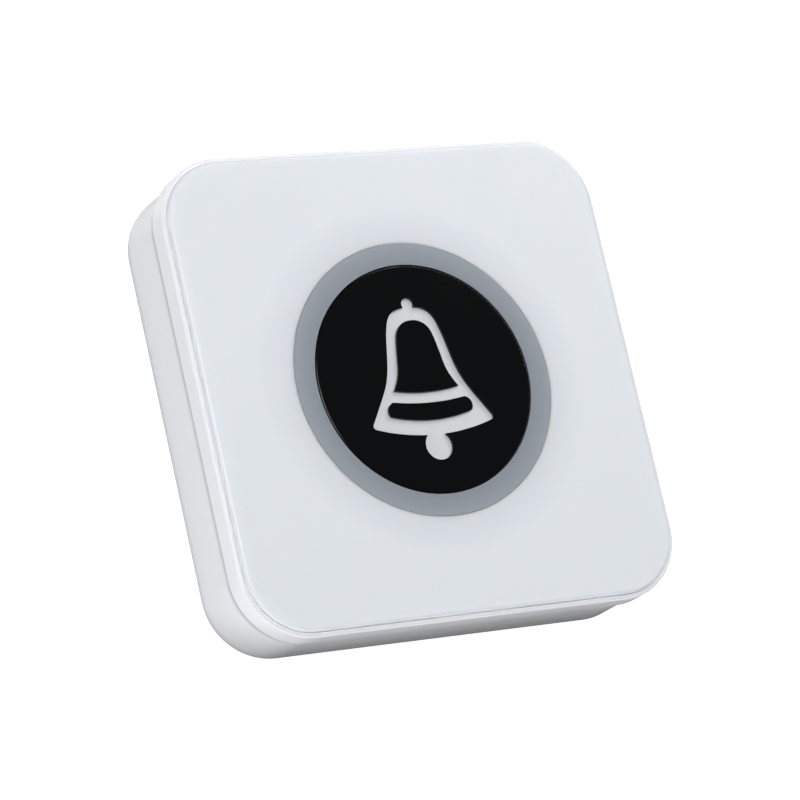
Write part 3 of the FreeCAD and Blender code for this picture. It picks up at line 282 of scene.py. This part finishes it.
class Finish:
    """A Principled material with patchy colour, uneven gloss and a fine grain, all in real sizes.

    The colour goes from light to dark and the roughness over the range rough. The sizes of their spots are
    patch and wear, grain is the size of the bumps and depth is their height.
    """

    def __init__(self, name, light, dark, rough, patch=8 * MM, wear=6 * MM, grain=0.3 * MM,
                 depth=0.003 * MM, **sockets):
        self.material = bpy.data.materials.new(name)
        self.material.use_nodes = True
        self.tree = self.material.node_tree
        self.shader = self.tree.nodes["Principled BSDF"]
        self.place = self.node("ShaderNodeTexCoord").outputs["Object"]
        self.colour = self.mix(self.noise(patch, 1.0), (*light, 1), (*dark, 1))
        self.link(self.colour, self.shader.inputs["Base Color"])
        self.link(self.spread(self.noise(wear, 1.0), 0.1, 0.9, *rough), self.shader.inputs["Roughness"])
        bump = self.node("ShaderNodeBump")
        bump.inputs["Distance"].default_value = depth
        self.link(self.noise(grain, 3.0), bump.inputs["Height"])
        self.link(bump.outputs["Normal"], self.shader.inputs["Normal"])
        for socket, setting in sockets.items():
            self.shader.inputs[socket.replace("_", " ")].default_value = setting

    def node(self, kind, **options):
        made = self.tree.nodes.new(kind)
        for option, setting in options.items():
            setattr(made, option, setting)
        return made

    def link(self, source, target):
        self.tree.links.new(source, target)

    def feed(self, socket, thing):
        """Sets a socket to a number or colour, or links an output to it."""
        if isinstance(thing, bpy.types.NodeSocket):
            self.link(thing, socket)
        else:
            socket.default_value = thing

    def noise(self, size, detail):
        texture = self.node("ShaderNodeTexNoise")
        texture.inputs["Scale"].default_value = 1.0 / size
        texture.inputs["Detail"].default_value = detail
        self.link(self.place, texture.inputs["Vector"])
        return texture.outputs["Fac"]

    def spread(self, source, low, high, to_low, to_high):
        """The source's range from low to high, spread over the range from to_low to to_high."""
        ranged = self.node("ShaderNodeMapRange", clamp=True)
        self.feed(ranged.inputs["Value"], source)
        limits = (("From Min", low), ("From Max", high), ("To Min", to_low), ("To Max", to_high))
        for socket, setting in limits:
            ranged.inputs[socket].default_value = setting
        return ranged.outputs["Result"]

    def math(self, operation, *things):
        made = self.node("ShaderNodeMath", operation=operation)
        for socket, thing in zip(made.inputs, things):
            self.feed(socket, thing)
        return made.outputs[0]

    def rest_of(self, share):
        """1 where the share is 0, and 0 where it is 1."""
        return self.math("SUBTRACT", 1.0, share)

    def mix(self, share, first, second):
        """The first colour where the share is 0, the second where it is 1; they are the inputs 6 and 7."""
        made = self.node("ShaderNodeMix", data_type="RGBA")
        self.feed(made.inputs[0], share)
        self.feed(made.inputs[6], first)
        self.feed(made.inputs[7], second)
        return made.outputs[2]

    def axis(self, letter, start=0.0):
        """The distance along an axis of the object from a start."""
        split = self.node("ShaderNodeSeparateXYZ")
        self.link(self.place, split.inputs[0])
        return self.math("SUBTRACT", split.outputs[letter], start) if start else split.outputs[letter]

    def aside(self, letter, start=0.0):
        """The same, counted to both sides."""
        return self.math("ABSOLUTE", self.axis(letter, start))

    def facing(self, letter):
        """How far the surface faces along an axis, 0 to 1."""
        split = self.node("ShaderNodeSeparateXYZ")
        self.link(self.node("ShaderNodeNewGeometry").outputs["Normal"], split.inputs[0])
        return self.math("ABSOLUTE", split.outputs[letter])

    def length(self, first, second):
        """The length of a line with the two sides first and second at right angles."""
        squares = [self.math("MULTIPLY", thing, thing) for thing in (first, second)]
        return self.math("SQRT", self.math("ADD", *squares))

    def radius(self):
        """Distance from the Z axis."""
        return self.length(self.axis("X"), self.axis("Y"))

    def past_plate(self):
        """Distance outwards from the face plate's outline."""
        past = []
        for letter in "XY":
            beyond = self.math("SUBTRACT", self.aside(letter), PLATE_CORNER_CENTRE)
            past.append(self.math("MAXIMUM", beyond, 0.0))
        return self.math("SUBTRACT", self.length(*past), PLATE_CORNER_RADIUS)

    def repeat(self, source, pitch, offset=0.0):
        """The distance from the nearest of a row of lines."""
        return self.math("WRAP", self.math("SUBTRACT", source, offset), pitch / 2, -pitch / 2)

    def within(self, source, half, soft=0.02 * MM):
        """1 where the source is less than half away from 0."""
        return self.spread(self.math("ABSOLUTE", source), half - soft, half + soft, 1.0, 0.0)

    def beyond(self, source, start, soft=0.02 * MM):
        """1 where the source is past the start."""
        return self.spread(source, start, start + soft, 0.0, 1.0)

    def paint(self, share, colour, metallic=False):
        """Lays a colour over the surface where share is 1, and makes it metal there if it is metallic."""
        self.colour = self.mix(share, self.colour, (*colour, 1))
        self.link(self.colour, self.shader.inputs["Base Color"])
        if metallic:
            self.link(share, self.shader.inputs["Metallic"])


def dress(finish, *names):
    """Gives a finish to CAD nodes."""
    for name in names:
        node = nodes[name]
        node.data.materials.clear()
        node.data.materials.append(finish.material)


TIN = (0.62, 0.62, 0.61)
EVEN_DEPTH = (1.0, 1.0, 1.1)
SOFT = {"Subsurface_Scale": 1.0 * MM, "Subsurface_Radius": EVEN_DEPTH}


# What shows from outside

def make_face_milky():
    """A milky plate, with painted shade near the ring and on its rounded edge, and painted light on the
    wall below that edge.
    """
    finish = Finish("face_milky", light=(0.755, 0.79, 0.83), dark=(0.745, 0.782, 0.825), rough=(0.28, 0.32),
                    patch=20 * MM, wear=25 * MM, grain=0.2 * MM, depth=0.0005 * MM, Subsurface_Weight=1.0,
                    Subsurface_Scale=1.3 * MM, Subsurface_Radius=(1.0, 1.05, 1.15))
    painted_shade, painted_light = (0.60, 0.63, 0.68), (0.92, 0.94, 0.97)
    shade_end, wall_top, round_start, round_end = 26.0 * MM, 17.0 * MM, -0.55 * MM, -0.2 * MM
    # painted shade: the plate is darker round the light ring, as if less light came through it there
    finish.paint(finish.spread(finish.radius(), RING_OUTER, shade_end, 0.5, 0.0), painted_shade)
    # painted shade on the plate's rounded edge, which would otherwise catch too much light
    finish.paint(finish.spread(finish.past_plate(), round_start, round_end, 0.0, 0.7), painted_shade)
    # painted light on the plate's wall below its rounded edge, which the lamps hardly reach
    finish.paint(finish.spread(finish.axis("Z"), wall_top, wall_top + 0.1 * MM, 1.0, 0.0), painted_light)
    return finish


def make_cover_plastic():
    """White plastic, with painted light in the crease between the ledge and the face plate."""
    finish = Finish("cover_plastic", light=(0.775, 0.785, 0.815), dark=(0.765, 0.775, 0.81),
                    rough=(0.22, 0.26), patch=20 * MM, wear=12 * MM, grain=0.2 * MM, depth=0.001 * MM,
                    Subsurface_Weight=0.5, Subsurface_Scale=0.4 * MM, Subsurface_Radius=EVEN_DEPTH)
    crease, half_width, soft = 0.08 * MM, 0.12 * MM, 0.06 * MM
    from_crease = finish.math("SUBTRACT", finish.past_plate(), crease)
    # painted light: the crease is made lighter to fill the shade that falls in it
    finish.paint(finish.within(from_crease, half_width, soft), (0.93, 0.94, 0.97))
    return finish


def make_case_plastic():
    """White plastic, with painted shade towards the gap under the cover's rim."""
    finish = Finish("case_plastic", light=(0.775, 0.782, 0.812), dark=(0.765, 0.772, 0.806),
                    rough=(0.22, 0.26), patch=16 * MM, wear=8 * MM, grain=0.16 * MM, depth=0.002 * MM,
                    Subsurface_Weight=0.3, Subsurface_Scale=0.3 * MM, Subsurface_Radius=EVEN_DEPTH,
                    Specular_IOR_Level=0.35)
    shade_start, gap = 11.5 * MM, 12.4 * MM
    # painted shade on the case just under the cover's overhanging rim
    finish.paint(finish.spread(finish.axis("Z"), shade_start, gap, 0.0, 0.8), (0.36, 0.365, 0.38))
    return finish


def make_smoky_ring():
    """Smoky plastic that gets lighter from the cap to the plate."""
    finish = Finish("smoky_ring", light=(0.24, 0.265, 0.30), dark=(0.232, 0.257, 0.292), rough=(0.28, 0.33),
                    patch=12 * MM, wear=12 * MM, grain=0.2 * MM, depth=0.0005 * MM,
                    Subsurface_Weight=0.3, **SOFT)
    finish.paint(finish.spread(finish.radius(), RING_INNER, RING_OUTER, 0.0, 1.0), (0.30, 0.33, 0.365))
    return finish


black_gloss = Finish("black_gloss", light=(0.0014, 0.0018, 0.0019), dark=(0.0018, 0.0022, 0.0023),
                     rough=(0.12, 0.16), patch=9 * MM, wear=12 * MM, grain=0.5 * MM, depth=0.0003 * MM,
                     Specular_IOR_Level=0.3)
bell_grey = Finish("bell_grey", light=(0.62, 0.625, 0.645), dark=(0.60, 0.605, 0.625), rough=(0.40, 0.48),
                   patch=6 * MM, grain=0.12 * MM, depth=0.002 * MM, Subsurface_Weight=0.2, **SOFT)

dress(make_face_milky(), "face_plate")
dress(make_cover_plastic(), "front_cover")
dress(make_case_plastic(), "rear_housing", "battery_door")
dress(make_smoky_ring(), "light_ring")
dress(black_gloss, "button_cap")
dress(bell_grey, "bell_inlay")


# Rubber, plastic and metal of one kind all over

gasket_rubber = Finish("gasket_rubber", light=(0.30, 0.31, 0.32), dark=(0.26, 0.27, 0.28),
                       rough=(0.60, 0.75), grain=0.1 * MM, depth=0.004 * MM)
reflector_white = Finish("reflector_white", light=(0.84, 0.84, 0.82), dark=(0.80, 0.80, 0.78),
                         rough=(0.29, 0.38), patch=3 * MM)
silicone = Finish("silicone", light=(0.62, 0.63, 0.62), dark=(0.56, 0.57, 0.57), rough=(0.45, 0.60),
                  patch=3 * MM, grain=0.15 * MM, depth=0.004 * MM, Subsurface_Weight=0.6, **SOFT)
switch_nylon = Finish("switch_nylon", light=(0.020, 0.020, 0.022), dark=(0.030, 0.030, 0.032),
                      rough=(0.45, 0.60), patch=1 * MM, wear=1 * MM, grain=0.08 * MM, depth=0.004 * MM)
plunger_brown = Finish("plunger_brown", light=(0.20, 0.05, 0.035), dark=(0.17, 0.04, 0.03),
                       rough=(0.35, 0.45), patch=1 * MM, wear=1 * MM, grain=0.1 * MM)
plated_steel = Finish("plated_steel", light=(0.62, 0.62, 0.60), dark=(0.54, 0.54, 0.53), rough=(0.18, 0.26),
                      patch=2 * MM, wear=1 * MM, grain=0.12 * MM, depth=0.002 * MM, Metallic=1.0)
solder_tin = Finish("solder_tin", light=TIN, dark=(0.55, 0.55, 0.55), rough=(0.29, 0.45), patch=0.5 * MM,
                    wear=0.3 * MM, grain=0.2 * MM, depth=0.01 * MM, Metallic=1.0)
enamelled_copper = Finish("enamelled_copper", light=(0.55, 0.20, 0.07), dark=(0.48, 0.16, 0.05),
                          rough=(0.18, 0.26), patch=1 * MM, wear=1 * MM, grain=0.1 * MM, Metallic=1.0)
zinc_steel = Finish("zinc_steel", light=(0.60, 0.61, 0.62), dark=(0.50, 0.51, 0.53), rough=(0.28, 0.38),
                    patch=0.8 * MM, wear=0.5 * MM, grain=0.1 * MM, depth=0.003 * MM, Metallic=1.0)

dress(gasket_rubber, "housing_gasket")
dress(reflector_white, "reflector_ring")
dress(switch_nylon, "switch_base")
dress(plunger_brown, "switch_plunger")
dress(plated_steel, "switch_cover", "saw_resonator", "battery_positive_contact", "battery_negative_plate")


# The parts on the board, the board and the cell

def make_chip_mould():
    """Black mould with tinned leads along its two long sides, and a dimple at its first lead."""
    finish = Finish("chip_mould", light=(0.018, 0.018, 0.019), dark=(0.026, 0.026, 0.027),
                    rough=(0.45, 0.60), patch=1 * MM, wear=1 * MM, grain=0.06 * MM, depth=0.004 * MM)
    low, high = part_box("encoder_chip")
    middle_y = (low.y + high.y) / 2
    dimple_x, dimple_y, dimple_radius = low.x + 1.0 * MM, middle_y - 1.1 * MM, 0.4 * MM
    leads_start = 1.96 * MM
    from_dimple = finish.length(finish.axis("X", dimple_x), finish.axis("Y", dimple_y))
    finish.paint(finish.within(from_dimple, dimple_radius), (0.05, 0.05, 0.052))
    finish.paint(finish.beyond(finish.aside("Y", middle_y), leads_start), TIN, metallic=True)
    return finish


def make_transistor_mould():
    """Black mould; what reaches out of the body in Y is a tinned lead."""
    finish = Finish("transistor_mould", light=(0.018, 0.018, 0.019), dark=(0.026, 0.026, 0.027),
                    rough=(0.50, 0.65), patch=1 * MM, wear=1 * MM, grain=0.06 * MM, depth=0.004 * MM)
    pitch, first_y, half_body, soft = 4.0 * MM, 10.0 * MM, 0.665 * MM, 0.005 * MM
    body = finish.within(finish.repeat(finish.axis("Y"), pitch, first_y), half_body, soft)
    finish.paint(finish.rest_of(body), TIN, metallic=True)
    return finish


def make_resistor_black():
    """Black film between two tinned ends in Y."""
    finish = Finish("resistor_black", light=(0.020, 0.020, 0.022), dark=(0.030, 0.030, 0.030),
                    rough=(0.30, 0.40), patch=0.4 * MM, wear=0.6 * MM, grain=0.1 * MM)
    end_start, soft = 0.53 * MM, 0.03 * MM
    finish.paint(finish.beyond(finish.aside("Y"), end_start, soft), TIN, metallic=True)
    return finish


def make_ceramic_tan():
    """Tan ceramic between two tinned ends in X."""
    finish = Finish("ceramic_tan", light=(0.42, 0.29, 0.17), dark=(0.36, 0.25, 0.15), rough=(0.45, 0.60),
                    patch=0.6 * MM, wear=0.6 * MM, grain=0.08 * MM)
    pitch, first_x, half_body = 3.6 * MM, 1.8 * MM, 0.68 * MM
    body = finish.within(finish.repeat(finish.axis("X"), pitch, first_x), half_body)
    finish.paint(finish.rest_of(body), TIN, metallic=True)
    return finish


def make_led_white():
    """White bodies in a circle, each with a round yellow lens on top and tinned ends."""
    finish = Finish("led_white", light=(0.78, 0.78, 0.75), dark=(0.72, 0.72, 0.70), rough=(0.30, 0.40),
                    patch=0.4 * MM, wear=0.6 * MM, grain=0.1 * MM)
    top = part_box("ring_leds")[1].z
    end_start, soft, turn = 0.95 * MM, 0.01 * MM, math.tau / LED_COUNT
    angle = finish.repeat(finish.math("ARCTAN2", finish.axis("Y"), finish.axis("X")), turn, turn / 2)
    out = finish.math("MULTIPLY", finish.radius(), finish.math("COSINE", angle))
    aside = finish.math("MULTIPLY", finish.radius(), finish.math("SINE", angle))
    from_lens = finish.length(finish.math("SUBTRACT", out, LED_CIRCLE), aside)
    on_top = finish.beyond(finish.axis("Z"), top - LENS_RISE, 0.05 * LENS_RISE)
    lens = finish.math("MULTIPLY", on_top, finish.within(from_lens, 1.05 * LENS_RADIUS))
    finish.paint(lens, (0.80, 0.52, 0.04))
    at_end = finish.beyond(finish.math("ABSOLUTE", aside), end_start, soft)
    finish.paint(at_end, TIN, metallic=True)
    return finish


def make_board_green():
    """Green mask over copper tracks, bare glass cloth at the cut edges, tinned rings at the screw holes."""
    finish = Finish("board_green", light=(0.012, 0.110, 0.045), dark=(0.010, 0.095, 0.038),
                    rough=(0.20, 0.26), patch=6 * MM, wear=3 * MM, grain=0.4 * MM, depth=0.003 * MM)
    cell_size, track_pitch, half_track = 7 * MM, 0.8 * MM, 0.16 * MM
    hole_circle, tin_radius = 24.6 * MM, 2.1 * MM
    cells = finish.node("ShaderNodeTexVoronoi", distance="CHEBYCHEV")
    cells.inputs["Scale"].default_value = 1 / cell_size
    finish.link(finish.place, cells.inputs["Vector"])
    cell_kind = finish.node("ShaderNodeSeparateColor")
    finish.link(cells.outputs["Color"], cell_kind.inputs[0])
    along_x = finish.math("GREATER_THAN", cell_kind.outputs[0], 0.5)
    rows = finish.within(finish.repeat(finish.axis("Y"), track_pitch), half_track)
    columns = finish.within(finish.repeat(finish.axis("X"), track_pitch), half_track)
    finish.paint(finish.mix(along_x, columns, rows), (0.022, 0.185, 0.075))
    finish.paint(finish.math("LESS_THAN", finish.facing("Z"), 0.5), (0.32, 0.30, 0.13))
    sides = [finish.aside(letter) for letter in "XY"]
    far, near = finish.math("MAXIMUM", *sides), finish.math("MINIMUM", *sides)
    from_hole = finish.length(finish.math("SUBTRACT", far, hole_circle), near)
    finish.paint(finish.within(from_hole, tin_radius), TIN, metallic=True)
    return finish


def make_cell_wrap():
    """A steel can in a shrunk plastic wrap: dark blue, with a bronze band at the positive end."""
    finish = Finish("cell_wrap", light=(0.020, 0.055, 0.110), dark=(0.016, 0.047, 0.095),
                    rough=(0.16, 0.24), patch=5 * MM, grain=0.6 * MM, depth=0.004 * MM)
    low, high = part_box("battery")
    band, knob, bare_end, soft = 8.0 * MM, 0.9 * MM, 0.25 * MM, 0.02 * MM
    finish.paint(finish.beyond(finish.axis("X"), high.x - band - soft, soft), (0.50, 0.30, 0.12))
    from_middle = finish.axis("X", (low.x + high.x - knob) / 2)
    wrapped = finish.within(from_middle, (high.x - low.x - knob) / 2 - bare_end, 0.05 * MM)
    finish.paint(finish.rest_of(wrapped), (0.56, 0.56, 0.55), metallic=True)
    return finish


dress(make_chip_mould(), "encoder_chip")
dress(make_board_green(), "circuit_board")
dress(make_cell_wrap(), "battery")


# ---------------------------------------------------------------------------------------------------------
# Pieces in the place of CAD nodes

def place_piece(piece, finish, node):
    """Puts a piece of the casing in the place of a CAD node."""
    scene.collection.objects.link(piece)
    piece.data.materials.append(finish.material)
    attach(piece, "casing")
    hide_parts(node)


def place_form(form, name, finish, node):
    """Makes a piece from the form and places it."""
    place_piece(bpy.data.objects.new(name, finished_mesh(form, name)), finish, node)


def place_smooth(form, name, finish, node, sharp):
    """The same, smooth but for edges sharper than an angle in degrees; it returns the piece."""
    mesh = finished_mesh(form, name)
    mesh.shade_smooth()
    mesh.set_sharp_from_angle(angle=math.radians(sharp))
    piece = bpy.data.objects.new(name, mesh)
    place_piece(piece, finish, node)
    return piece


# Screws that point up

def add_head(form, place, top, radius, height):
    """A pan head that faces down, before its recess is cut."""
    steps = 40
    bottom = top - height
    edge, crown, chamfer = 0.45 * height, 0.05 * height, 0.03 * height
    profile = [(0.45 * radius, bottom + 0.2 * crown), (radius - edge, bottom + crown)]
    for turn in (0.4, 0.8, 1.2, math.pi / 2):
        profile.append((radius - edge * (1 - math.sin(turn)), bottom + crown + edge * (1 - math.cos(turn))))
    profile += [(radius, top - chamfer), (radius - chamfer, top)]
    rings = [add_ring(form, place, reach, z, steps) for reach, z in profile]
    close_to_points(form, form.verts.new((*place, bottom)), rings, form.verts.new((*place, top)))


def add_cross(form, place, top, radius, height):
    """The cutter for a cross recess in the head's underside: a cross that narrows upwards."""
    arm, width = 0.56 * radius, 0.13 * radius
    below_head, inside_head = (top - 1.2 * height, 1.15), (top - 0.38 * height, 0.42)
    x, y = place
    rings = []
    for level, share in (below_head, inside_head):
        far, near = arm * share, width * share
        outline = ((far, near), (near, near), (near, far), (-near, far), (-near, near), (-far, near),
                   (-far, -near), (-near, -near), (-near, -far), (near, -far), (near, -near), (far, -near))
        rings.append([form.verts.new((x + across, y + down, level)) for across, down in outline])
    close_flat(form, rings)


def cut(mesh, cutter_mesh):
    """The mesh less the cutter, as a new mesh."""
    blank = bpy.data.objects.new("blank", mesh)
    cutter = bpy.data.objects.new("cutter", cutter_mesh)
    for made in (blank, cutter):
        scene.collection.objects.link(made)
    modifier = blank.modifiers.new("cut", "BOOLEAN")
    modifier.operation = "DIFFERENCE"
    modifier.solver = "EXACT"
    modifier.object = cutter
    bpy.context.view_layer.update()
    result = bpy.data.meshes.new_from_object(blank.evaluated_get(bpy.context.evaluated_depsgraph_get()))
    for made in (blank, cutter):
        bpy.data.objects.remove(made)
    return result


def add_shank(form, place, foot, radius, length, pitch):
    """A threaded shank that points up and narrows to a point; the thread's crest is at the radius."""
    steps, levels_per_turn, past_last = 20, 8, 0.4
    root, tip_length, tip_share, flank = 0.76 * radius, 1.3 * radius, 0.12, 2.2
    x, y = place
    levels = round(length / pitch * levels_per_turn)
    rings = []
    for level in range(levels + 1):
        height = length * level / (levels + past_last)
        narrow = min(1.0, (length - height) / tip_length + tip_share)
        ring = []
        for i in range(steps):
            turn = i / steps
            from_crest = abs((height / pitch - turn) % 1.0 * 2 - 1)
            reach = (root + (radius - root) * max(0.0, 1 - flank * from_crest)) * narrow
            angle = math.tau * turn
            across, down = reach * math.cos(angle), reach * math.sin(angle)
            ring.append(form.verts.new((x + across, y + down, foot + height)))
        rings.append(ring)
    close_to_points(form, form.verts.new((x, y, foot)), rings, form.verts.new((x, y, foot + length)))


def make_screws(node, directions, head_radius, head_height, shank_radius, pitch):
    """One piece for a node's screws, which stand in the directions (x, y) from the middle."""
    low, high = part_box(node)
    reach, under_head, sink = high.x - head_radius, low.z + head_height, 0.05 * MM
    places = [(reach * x, reach * y) for x, y in directions]
    heads, crosses = bmesh.new(), bmesh.new()
    for place in places:
        add_head(heads, place, under_head, head_radius, head_height)
        add_cross(crosses, place, under_head, head_radius, head_height)
    form = bmesh.new()
    form.from_mesh(cut(finished_mesh(heads, "heads"), finished_mesh(crosses, "crosses")))
    bmesh.ops.triangulate(form, faces=form.faces)
    bmesh.ops.dissolve_degenerate(form, dist=0.001 * MM, edges=form.edges)
    for place in places:
        add_shank(form, place, under_head - sink, shank_radius, high.z - under_head + sink, pitch)
    place_smooth(form, node + "_fine", zinc_steel, node, sharp=35)


# Wound wires

def add_wire(name, points, radius, finish, node):
    """A round wire through the points."""
    curve = bpy.data.curves.new(name, "CURVE")
    curve.dimensions = "3D"
    curve.bevel_depth = radius
    curve.bevel_resolution = 4
    curve.use_fill_caps = True
    line = curve.splines.new("POLY")
    line.points.add(len(points) - 1)
    for point, place in zip(line.points, points):
        point.co = (*place, 1.0)
    line.use_smooth = True
    place_piece(bpy.data.objects.new(name, curve), finish, node)


def coil_point(x, angle, radius, axis):
    """A point of a winding along X; the axis is a (y, z)."""
    return (x, axis[0] + radius * math.sin(angle), axis[1] + radius * math.cos(angle))


def make_antenna():
    """Six turns between two legs up to the board."""
    low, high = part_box("antenna_coil")
    wire, coil, turns, steps = 0.35 * MM, 2.2 * MM, 6, 28
    first_x, last_x = low.x + wire, high.x - wire
    axis = ((low.y + high.y) / 2, high.z - 2 * wire - coil)
    winding = []
    for i in range(steps * turns + 1):
        share = i / (steps * turns)
        x = first_x + (last_x - first_x) * share
        winding.append(coil_point(x, math.tau * turns * share, coil, axis))
    first_leg, last_leg = [(x, axis[0], high.z) for x in (first_x, last_x)]
    add_wire("antenna_fine", [first_leg, *winding, last_leg], wire, enamelled_copper,
             "antenna_coil")


def make_battery_spring():
    """A cone of three and a half turns on the cell's axis, the widest turn flat on its plate."""
    low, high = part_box("battery_spring")
    wire, wide, narrow, turns, steps = 0.3 * MM, 3.3 * MM, 1.7 * MM, 3.5, 32
    axis = (-14.0 * MM, 6.95 * MM)
    flat_share, first_angle = 0.14, 0.2
    count = int(steps * turns)
    winding = []
    for i in range(count + 1):
        share = i / count
        rise = max(0.0, (share - flat_share) / (1 - flat_share))
        x = low.x + wire + rise * (high.x - low.x - 2 * wire)
        angle = math.tau * turns * share + first_angle
        winding.append(coil_point(x, angle, wide + (narrow - wide) * share, axis))
    add_wire("battery_spring_fine", winding, wire, plated_steel, "battery_spring")


# Small parts of the board

# outlines of bent strips: reach from the part's middle and height off the board, in mm
TRANSISTOR_LEAD = ((0.50, 0.42), (0.80, 0.42), (0.93, 0.02), (1.20, 0.02), (1.20, 0.14), (1.01, 0.14),
                   (0.88, 0.54), (0.50, 0.54))
SWITCH_TERMINAL = ((2.90, 0.34), (3.12, 0.34), (3.30, 0.00), (4.20, 0.00), (4.20, 0.14), (3.40, 0.14),
                   (3.22, 0.48), (2.90, 0.48))


def add_block(form, centre, low, high, half_x, half_y, edge=0.04 * MM, draft=0.0, turn=0.0):
    """A block with cut edges from the height low to high; a draft narrows it to its top and bottom."""
    levels = ((low, edge + draft), (low + edge, draft), ((low + high) / 2, 0.0), (high - edge, draft),
              (high, edge + draft))
    turned = Matrix.Rotation(turn, 3, "Z")
    middle = Vector((*centre, 0))
    rings = []
    for z, inset in levels:
        a, b = half_x - inset, half_y - inset
        outline = ((a, b - edge), (a - edge, b), (edge - a, b), (-a, b - edge),
                   (-a, edge - b), (edge - a, -b), (a - edge, -b), (a, edge - b))
        rings.append([form.verts.new(turned @ Vector((x, y, z)) + middle) for x, y in outline])
    close_flat(form, rings)


def add_strip(form, centre, turn, board, side, outline, width):
    """A bent strip that reaches out at an angle, on the board's upper side (1) or its lower one (-1)."""
    out = Vector((math.cos(turn), math.sin(turn), 0))
    aside = Vector((-math.sin(turn), math.cos(turn), 0)) * width / 2
    line = [Vector((*centre, board + side * height * MM)) + out * reach * MM for reach, height in outline]
    close_flat(form, [[form.verts.new(point + edge) for point in line] for edge in (-aside, aside)])


def add_lens(form, centre, top):
    """A low round lens, sunk a little in the body under it."""
    steps = 24
    rings = []
    for share, rise in ((1.0, -0.3), (1.0, 0.0), (0.8, 0.6), (0.45, 0.9)):
        rings.append(add_ring(form, centre, share * LENS_RADIUS, top - LENS_RISE * (1 - rise), steps))
    foot = form.verts.new((*centre, top - 1.3 * LENS_RISE))
    close_to_points(form, foot, rings, form.verts.new((*centre, top)))


def row(node, count, along, size):
    """The middles of a node's equal parts in a row along X (0) or Y (1), and the node's box."""
    low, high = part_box(node)
    pitch = (high[along] - low[along] - size) / (count - 1)
    middle = [(low.x + high.x) / 2, (low.y + high.y) / 2]
    middles = []
    for i in range(count):
        middle[along] = low[along] + size / 2 + pitch * i
        middles.append(tuple(middle))
    return middles, low, high


def make_transistors():
    """Tapered bodies, each with two leads on one side and one on the other."""
    half_y, draft, gap, lead, lead_x = 0.65 * MM, 0.05 * MM, 0.04 * MM, 0.4 * MM, 0.95 * MM
    leads = ((0.0, math.pi / 2), (-lead_x, -math.pi / 2), (lead_x, -math.pi / 2))
    middles, low, high = row("transistors", 3, along=1, size=2 * half_y)
    form = bmesh.new()
    for x, y in middles:
        add_block(form, (x, y), low.z, high.z - gap, (high.x - low.x) / 2, half_y, draft=draft)
        for aside, turn in leads:
            add_strip(form, (x + aside, y), turn, high.z, -1, TRANSISTOR_LEAD, lead)
    place_form(form, "transistors_fine", make_transistor_mould(), "transistors")


def make_resistors():
    """A body between two thicker tinned ends."""
    below, above = 0.04 * MM, 0.03 * MM
    body, tinned, end_y = (0.36 * MM, 0.75 * MM), (0.40 * MM, 0.13 * MM), 0.67 * MM
    middles, low, high = row("resistors", 7, along=0, size=2 * tinned[0])
    form = bmesh.new()
    for x, y in middles:
        add_block(form, (x, y), low.z + below, high.z - above, *body)
        for end in (-end_y, end_y):
            add_block(form, (x, y + end), low.z, high.z, *tinned)
    place_form(form, "resistors_fine", make_resistor_black(), "resistors")


def make_capacitors():
    """A rounder body between two thicker tinned ends."""
    below, above, edge = 0.05 * MM, 0.04 * MM, 0.06 * MM
    body, tinned, end_x = (0.95 * MM, 0.57 * MM), (0.16 * MM, 0.62 * MM), 0.84 * MM
    middles, low, high = row("capacitors", 4, along=0, size=2 * (end_x + tinned[0]))
    form = bmesh.new()
    for x, y in middles:
        add_block(form, (x, y), low.z + below, high.z - above, *body, edge)
        for end in (-end_x, end_x):
            add_block(form, (x + end, y), low.z, high.z, *tinned, edge)
    place_form(form, "capacitors_fine", make_ceramic_tan(), "capacitors")


def make_leds():
    """Bodies in a circle, each on two tinned ends and with a lens."""
    low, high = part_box("ring_leds")
    end_place, end_height, gap = 0.84 * MM, 0.25 * MM, 0.03 * MM
    body, tinned = (0.6 * MM, 0.94 * MM), (0.5 * MM, 0.16 * MM)
    form = bmesh.new()
    for i in range(LED_COUNT):
        turn = math.tau * (i + 0.5) / LED_COUNT
        out = Vector((math.cos(turn), math.sin(turn)))
        aside = Vector((-math.sin(turn), math.cos(turn)))
        centre = out * LED_CIRCLE
        add_block(form, centre, low.z + gap, high.z - LENS_RISE, *body, turn=turn)
        for end in (-end_place, end_place):
            add_block(form, centre + aside * end, low.z, low.z + end_height, *tinned, turn=turn)
        add_lens(form, centre, high.z)
    place_form(form, "ring_leds_fine", make_led_white(), "ring_leds")


def make_switch_terminals():
    """Four strips from the switch's sides down to the board."""
    low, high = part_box("switch_terminals")
    width = 0.7 * MM
    form = bmesh.new()
    for turn in (0.0, math.pi):
        for y in (low.y + width / 2, high.y - width / 2):
            add_strip(form, (0.0, y), turn, low.z, 1, SWITCH_TERMINAL, width)
    place_form(form, "switch_terminals_fine", solder_tin, "switch_terminals")


# Springy parts under the cap

def add_soft(name, finish, node):
    """A piece with the node's own shape, smooth but for edges sharper than 60 degrees, with a mesh of its
    own.
    """
    form = bmesh.new()
    form.from_mesh(nodes[node].data)
    bmesh.ops.remove_doubles(form, verts=form.verts, dist=0.0005 * MM)
    bmesh.ops.dissolve_degenerate(form, dist=0.0005 * MM, edges=form.edges)
    piece = place_smooth(form, name, finish, node, sharp=60)
    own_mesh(piece)


make_screws("case_screws", ((-1, -1), (-1, 1), (1, -1), (1, 1)), head_radius=2.2 * MM,
            head_height=1.4 * MM, shank_radius=0.93 * MM, pitch=0.9 * MM)
make_screws("board_screws", ((1, 0), (-1, 0), (0, 1), (0, -1)), head_radius=1.9 * MM,
            head_height=1.1 * MM, shank_radius=0.73 * MM, pitch=0.6 * MM)
make_antenna()
make_battery_spring()
make_transistors()
make_resistors()
make_capacitors()
make_leds()
make_switch_terminals()
add_soft("return_pad_soft", silicone, "return_pad")
add_soft("switch_dome_soft", plated_steel, "switch_dome")
